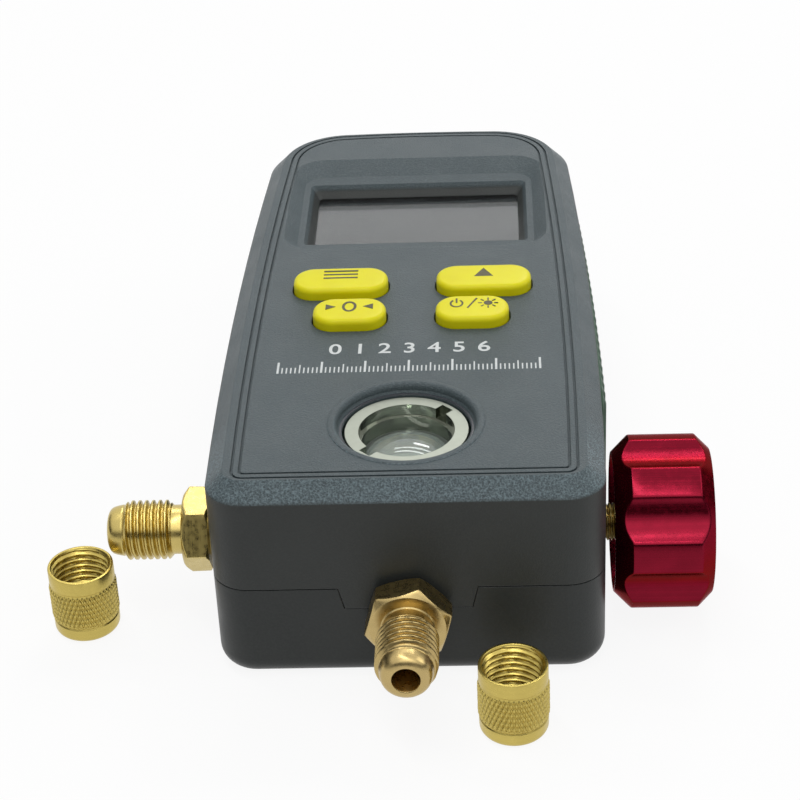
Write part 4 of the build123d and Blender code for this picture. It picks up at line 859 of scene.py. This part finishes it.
def key_marks():
    """Generic pictograms: list, up, zero, and standby with light."""
    x, y, _ = KEYS["key_upper_left"]
    lines = [bar(x - 3.4, y + dy, x + 3.4, y + dy, 0.55) for dy in (2.6, 1.2, -0.2)]
    key_mark("key_upper_left", lines)

    x, y, _ = KEYS["key_upper_right"]
    triangle = [(x - 1.9, y - 0.8), (x + 1.9, y - 0.8), (x, y + 2.6)]
    key_mark("key_upper_right", [triangle])

    x, y, _ = KEYS["key_lower_left"]
    zero = arc(x, y + 0.6, 1.15, 1.75, 0, 360, 0.55)
    left_arrow = [(x - 4.6, y + 1.6), (x - 4.6, y - 0.4), (x - 2.6, y + 0.6)]
    right_arrow = [(x + 4.6, y - 0.4), (x + 4.6, y + 1.6), (x + 2.6, y + 0.6)]
    key_mark("key_lower_left", zero + [left_arrow, right_arrow])

    x, y, _ = KEYS["key_lower_right"]
    power_x, sun_x, cy, stroke = x - 3.0, x + 3.1, y + 0.9, 0.36
    shapes = arc(power_x, cy, 1.15, 1.35, 125, 415, stroke)
    shapes += [bar(power_x, cy + 0.2, power_x, cy + 1.9, stroke)]
    shapes += [bar(x - 0.9, cy - 1.9, x + 0.9, cy + 1.9, stroke), disc(sun_x, cy, 0.85)]
    for i in range(8):
        dx, dy = math.cos(TAU * i / 8), math.sin(TAU * i / 8)
        shapes.append(bar(sun_x + 1.15 * dx, cy + 1.15 * dy,
                          sun_x + 1.95 * dx, cy + 1.95 * dy, 0.28))
    key_mark("key_lower_right", shapes)


SCALE_HALF, SCALE_PARTS, TICK_LOW = 24.5, 60, NEAR + 38.8
DIGITS, DIGIT_PITCH, DIGIT_LOW, DIGIT_SIZE = 7, 4.7, NEAR + 45.6, 5.2
DIGIT_THICKNESS, DIGIT_BOLD = 0.03, 0.06
SCALE_Z = FACE_Z - 0.005


def scale_ticks():
    """The lines of a plain graduated scale, taller and bolder at every tenth."""
    ticks = []
    for i in range(SCALE_PARTS + 1):
        x = -SCALE_HALF + 2 * SCALE_HALF * i / SCALE_PARTS
        tall = 4.0 if i % 10 == 0 else (3.0 if i % 5 == 0 else 2.0)
        ticks.append(bar(x, TICK_LOW, x, TICK_LOW + tall, 0.42 if i % 10 == 0 else 0.26))
    printed("scale_ticks", ticks, SCALE_Z, "case", "white_print", "case_plastic")


def scale_number(i):
    """A digit above the scale, as a mesh made from text."""
    curve = bpy.data.curves.new(f"digit_{i}", "FONT")
    curve.body, curve.size = str(i), DIGIT_SIZE * MM
    curve.align_x, curve.align_y = "CENTER", "BOTTOM_BASELINE"
    curve.extrude, curve.offset = DIGIT_THICKNESS / 2 * MM, DIGIT_BOLD * MM
    holder = bpy.data.objects.new(f"digit_{i}_curve", curve)
    bpy.context.scene.collection.objects.link(holder)
    bpy.context.view_layer.update()
    evaluated = holder.evaluated_get(bpy.context.evaluated_depsgraph_get())
    mesh = bpy.data.meshes.new_from_object(evaluated)
    x = DIGIT_PITCH * (i - (DIGITS - 1) / 2)
    place = (x * MM, DIGIT_LOW * MM, (SCALE_Z + DIGIT_THICKNESS / 2) * MM)
    mesh.transform(Matrix.Translation(place))
    bpy.data.objects.remove(holder)
    mesh.materials.clear()
    mesh.materials.append(FINISH["white_print"])
    made = bpy.data.objects.new(f"scale_number_{i}", mesh)
    bpy.context.scene.collection.objects.link(made)
    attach(made, "case")


key_marks()
scale_ticks()
for digit in range(DIGITS):
    scale_number(digit)


# ---------------------------------------------------------------- floor, light and camera
FLOOR_HALF, FLOOR_Z = 3.0, -0.0001      # metres
FLOOR_TONE, FLOOR_GLOW, WORLD_GLOW = 0.46, 0.90, 0.30


def shown(tree):
    """1 for camera, glossy and transmission rays, 0 for the rays that light the object."""
    path = tree.nodes.new("ShaderNodeLightPath")
    total = path.outputs["Is Camera Ray"]
    for name in ("Is Glossy Ray", "Is Transmission Ray"):
        add = tree.nodes.new("ShaderNodeMath")
        add.operation, add.use_clamp = "ADD", True
        tree.links.new(total, add.inputs[0])
        tree.links.new(path.outputs[name], add.inputs[1])
        total = add.outputs[0]
    return total


def make_floor():
    """A white floor that takes shadows and throws less light up than it shows."""
    mesh = bpy.data.meshes.new("floor")
    corners = [(sx * FLOOR_HALF, sy * FLOOR_HALF, FLOOR_Z)
               for sx, sy in ((-1, -1), (1, -1), (1, 1), (-1, 1))]
    mesh.from_pydata(corners, [], [(0, 1, 2, 3)])
    floor = bpy.data.objects.new("floor", mesh)
    bpy.context.scene.collection.objects.link(floor)
    material = bpy.data.materials.new("pale_floor")
    material.use_nodes = True
    tree = material.node_tree
    tree.nodes.clear()
    paper = tree.nodes.new("ShaderNodeBsdfDiffuse")
    tone = tree.nodes.new("ShaderNodeMapRange")
    tone.inputs["To Min"].default_value = FLOOR_TONE
    tree.links.new(shown(tree), tone.inputs["Value"])
    tree.links.new(tone.outputs[0], paper.inputs["Color"])
    glow = tree.nodes.new("ShaderNodeEmission")
    glow.inputs["Color"].default_value = (1, 1, 1, 1)
    share = tree.nodes.new("ShaderNodeMath")
    share.operation = "MULTIPLY"
    share.inputs[1].default_value = FLOOR_GLOW
    tree.links.new(shown(tree), share.inputs[0])
    mix = tree.nodes.new("ShaderNodeMixShader")
    tree.links.new(share.outputs[0], mix.inputs[0])
    tree.links.new(paper.outputs[0], mix.inputs[1])
    tree.links.new(glow.outputs[0], mix.inputs[2])
    output = tree.nodes.new("ShaderNodeOutputMaterial")
    tree.links.new(mix.outputs[0], output.inputs[0])
    mesh.materials.append(material)


def make_world():
    """White surroundings that light the object less than they show."""
    world = bpy.data.worlds.new("studio")
    world.use_nodes = True
    bpy.context.scene.world = world
    tree = world.node_tree
    background = tree.nodes["Background"]
    background.inputs["Color"].default_value = (1, 1, 1, 1)
    strength = tree.nodes.new("ShaderNodeMapRange")
    strength.inputs["To Min"].default_value = WORLD_GLOW
    strength.inputs["To Max"].default_value = 1.0
    tree.links.new(shown(tree), strength.inputs["Value"])
    tree.links.new(strength.outputs[0], background.inputs["Strength"])


def soft_lamp(name, place, target, size, power):
    """A rectangular lamp turned towards a point. Places and sizes in metres."""
    light = bpy.data.lights.new(name, "AREA")
    light.shape, light.size, light.size_y = "RECTANGLE", size[0], size[1]
    light.energy = power
    lamp = bpy.data.objects.new(name, light)
    bpy.context.scene.collection.objects.link(lamp)
    lamp.location = place
    lamp.rotation_euler = (Vector(target) - Vector(place)).to_track_quat("-Z", "Y").to_euler()


def card(name, corners, shade):
    """A dark screen that only reflections see, so that polished metal has something to mirror."""
    mesh = bpy.data.meshes.new(name)
    mesh.from_pydata(corners, [], [(0, 1, 2, 3)])
    screen = bpy.data.objects.new(name, mesh)
    bpy.context.scene.collection.objects.link(screen)
    material = bpy.data.materials.new(name)
    material.use_nodes = True
    tree = material.node_tree
    tree.nodes.clear()
    glow = tree.nodes.new("ShaderNodeEmission")
    glow.inputs["Color"].default_value = (shade, shade, shade * 1.02, 1)
    output = tree.nodes.new("ShaderNodeOutputMaterial")
    tree.links.new(glow.outputs[0], output.inputs[0])
    mesh.materials.append(material)
    screen.visible_camera = screen.visible_diffuse = screen.visible_shadow = False
    screen.visible_transmission = False


# Solved from the case, ports, knob and caps: metres, radians, and the lens in millimetres.
CAMERA_PLACE = (0.01695, -0.38549, 0.25133)
CAMERA_YAW, CAMERA_PITCH, CAMERA_ROLL = -0.0535, 0.5526, -0.049
CAMERA_LENS, CAMERA_SENSOR = 98.97, 36.0


def make_camera():
    """The camera of the photo."""
    cos_yaw, sin_yaw = math.cos(CAMERA_YAW), math.sin(CAMERA_YAW)
    cos_pitch, sin_pitch = math.cos(CAMERA_PITCH), math.sin(CAMERA_PITCH)
    forward = Vector((sin_yaw * cos_pitch, cos_yaw * cos_pitch, -sin_pitch))
    right = Vector((cos_yaw, -sin_yaw, 0))
    up = right.cross(forward)
    x = math.cos(CAMERA_ROLL) * right + math.sin(CAMERA_ROLL) * up
    y = -math.sin(CAMERA_ROLL) * right + math.cos(CAMERA_ROLL) * up
    data = bpy.data.cameras.new("camera")
    data.sensor_width, data.lens = CAMERA_SENSOR, CAMERA_LENS
    data.clip_start, data.clip_end = 0.01, 20
    made = bpy.data.objects.new("camera", data)
    bpy.context.scene.collection.objects.link(made)
    rows = [(x[i], y[i], -forward[i], CAMERA_PLACE[i]) for i in range(3)]
    made.matrix_world = Matrix((*rows, (0, 0, 0, 1)))
    bpy.context.scene.camera = made


make_floor()
make_world()
soft_lamp("top_tube", (-0.15, -0.10, 0.95), (0, 0, 0), (0.9, 0.10), 2.5)
soft_lamp("back_tube", (0.10, 0.60, 0.93), (0, 0, 0), (0.8, 0.06), 1.2)
soft_lamp("far_tube", (0.10, 0.74, 0.84), (0, 0, 0), (0.8, 0.06), 1.2)
soft_lamp("front_lamp", (0.15, -0.75, 0.95), (0, -0.03, 0), (1.1, 0.7), 2.5)
soft_lamp("low_back", (0.24, 1.05, 0.82), (0.05, 0, 0), (0.34, 0.12), 1.5)
soft_lamp("right_lamp", (0.85, 0.05, 0.55), (0.03, -0.03, 0.01), (0.5, 0.5), 1.3)
card("dark_front",
     [(-1.6, -1.3, 0.0), (1.6, -1.3, 0.0), (1.6, -1.3, 0.62), (-1.6, -1.3, 0.62)], 0.05)
card("dark_left",
     [(-1.2, -0.9, 0.05), (-1.2, 0.9, 0.05), (-1.2, 0.9, 0.7), (-1.2, -0.9, 0.7)], 0.06)
card("dark_right",
     [(1.2, -0.9, 0.05), (1.2, 0.9, 0.05), (1.2, 0.9, 0.42), (1.2, -0.9, 0.42)], 0.06)
make_camera()
bpy.context.scene.view_settings.view_transform = "Standard"
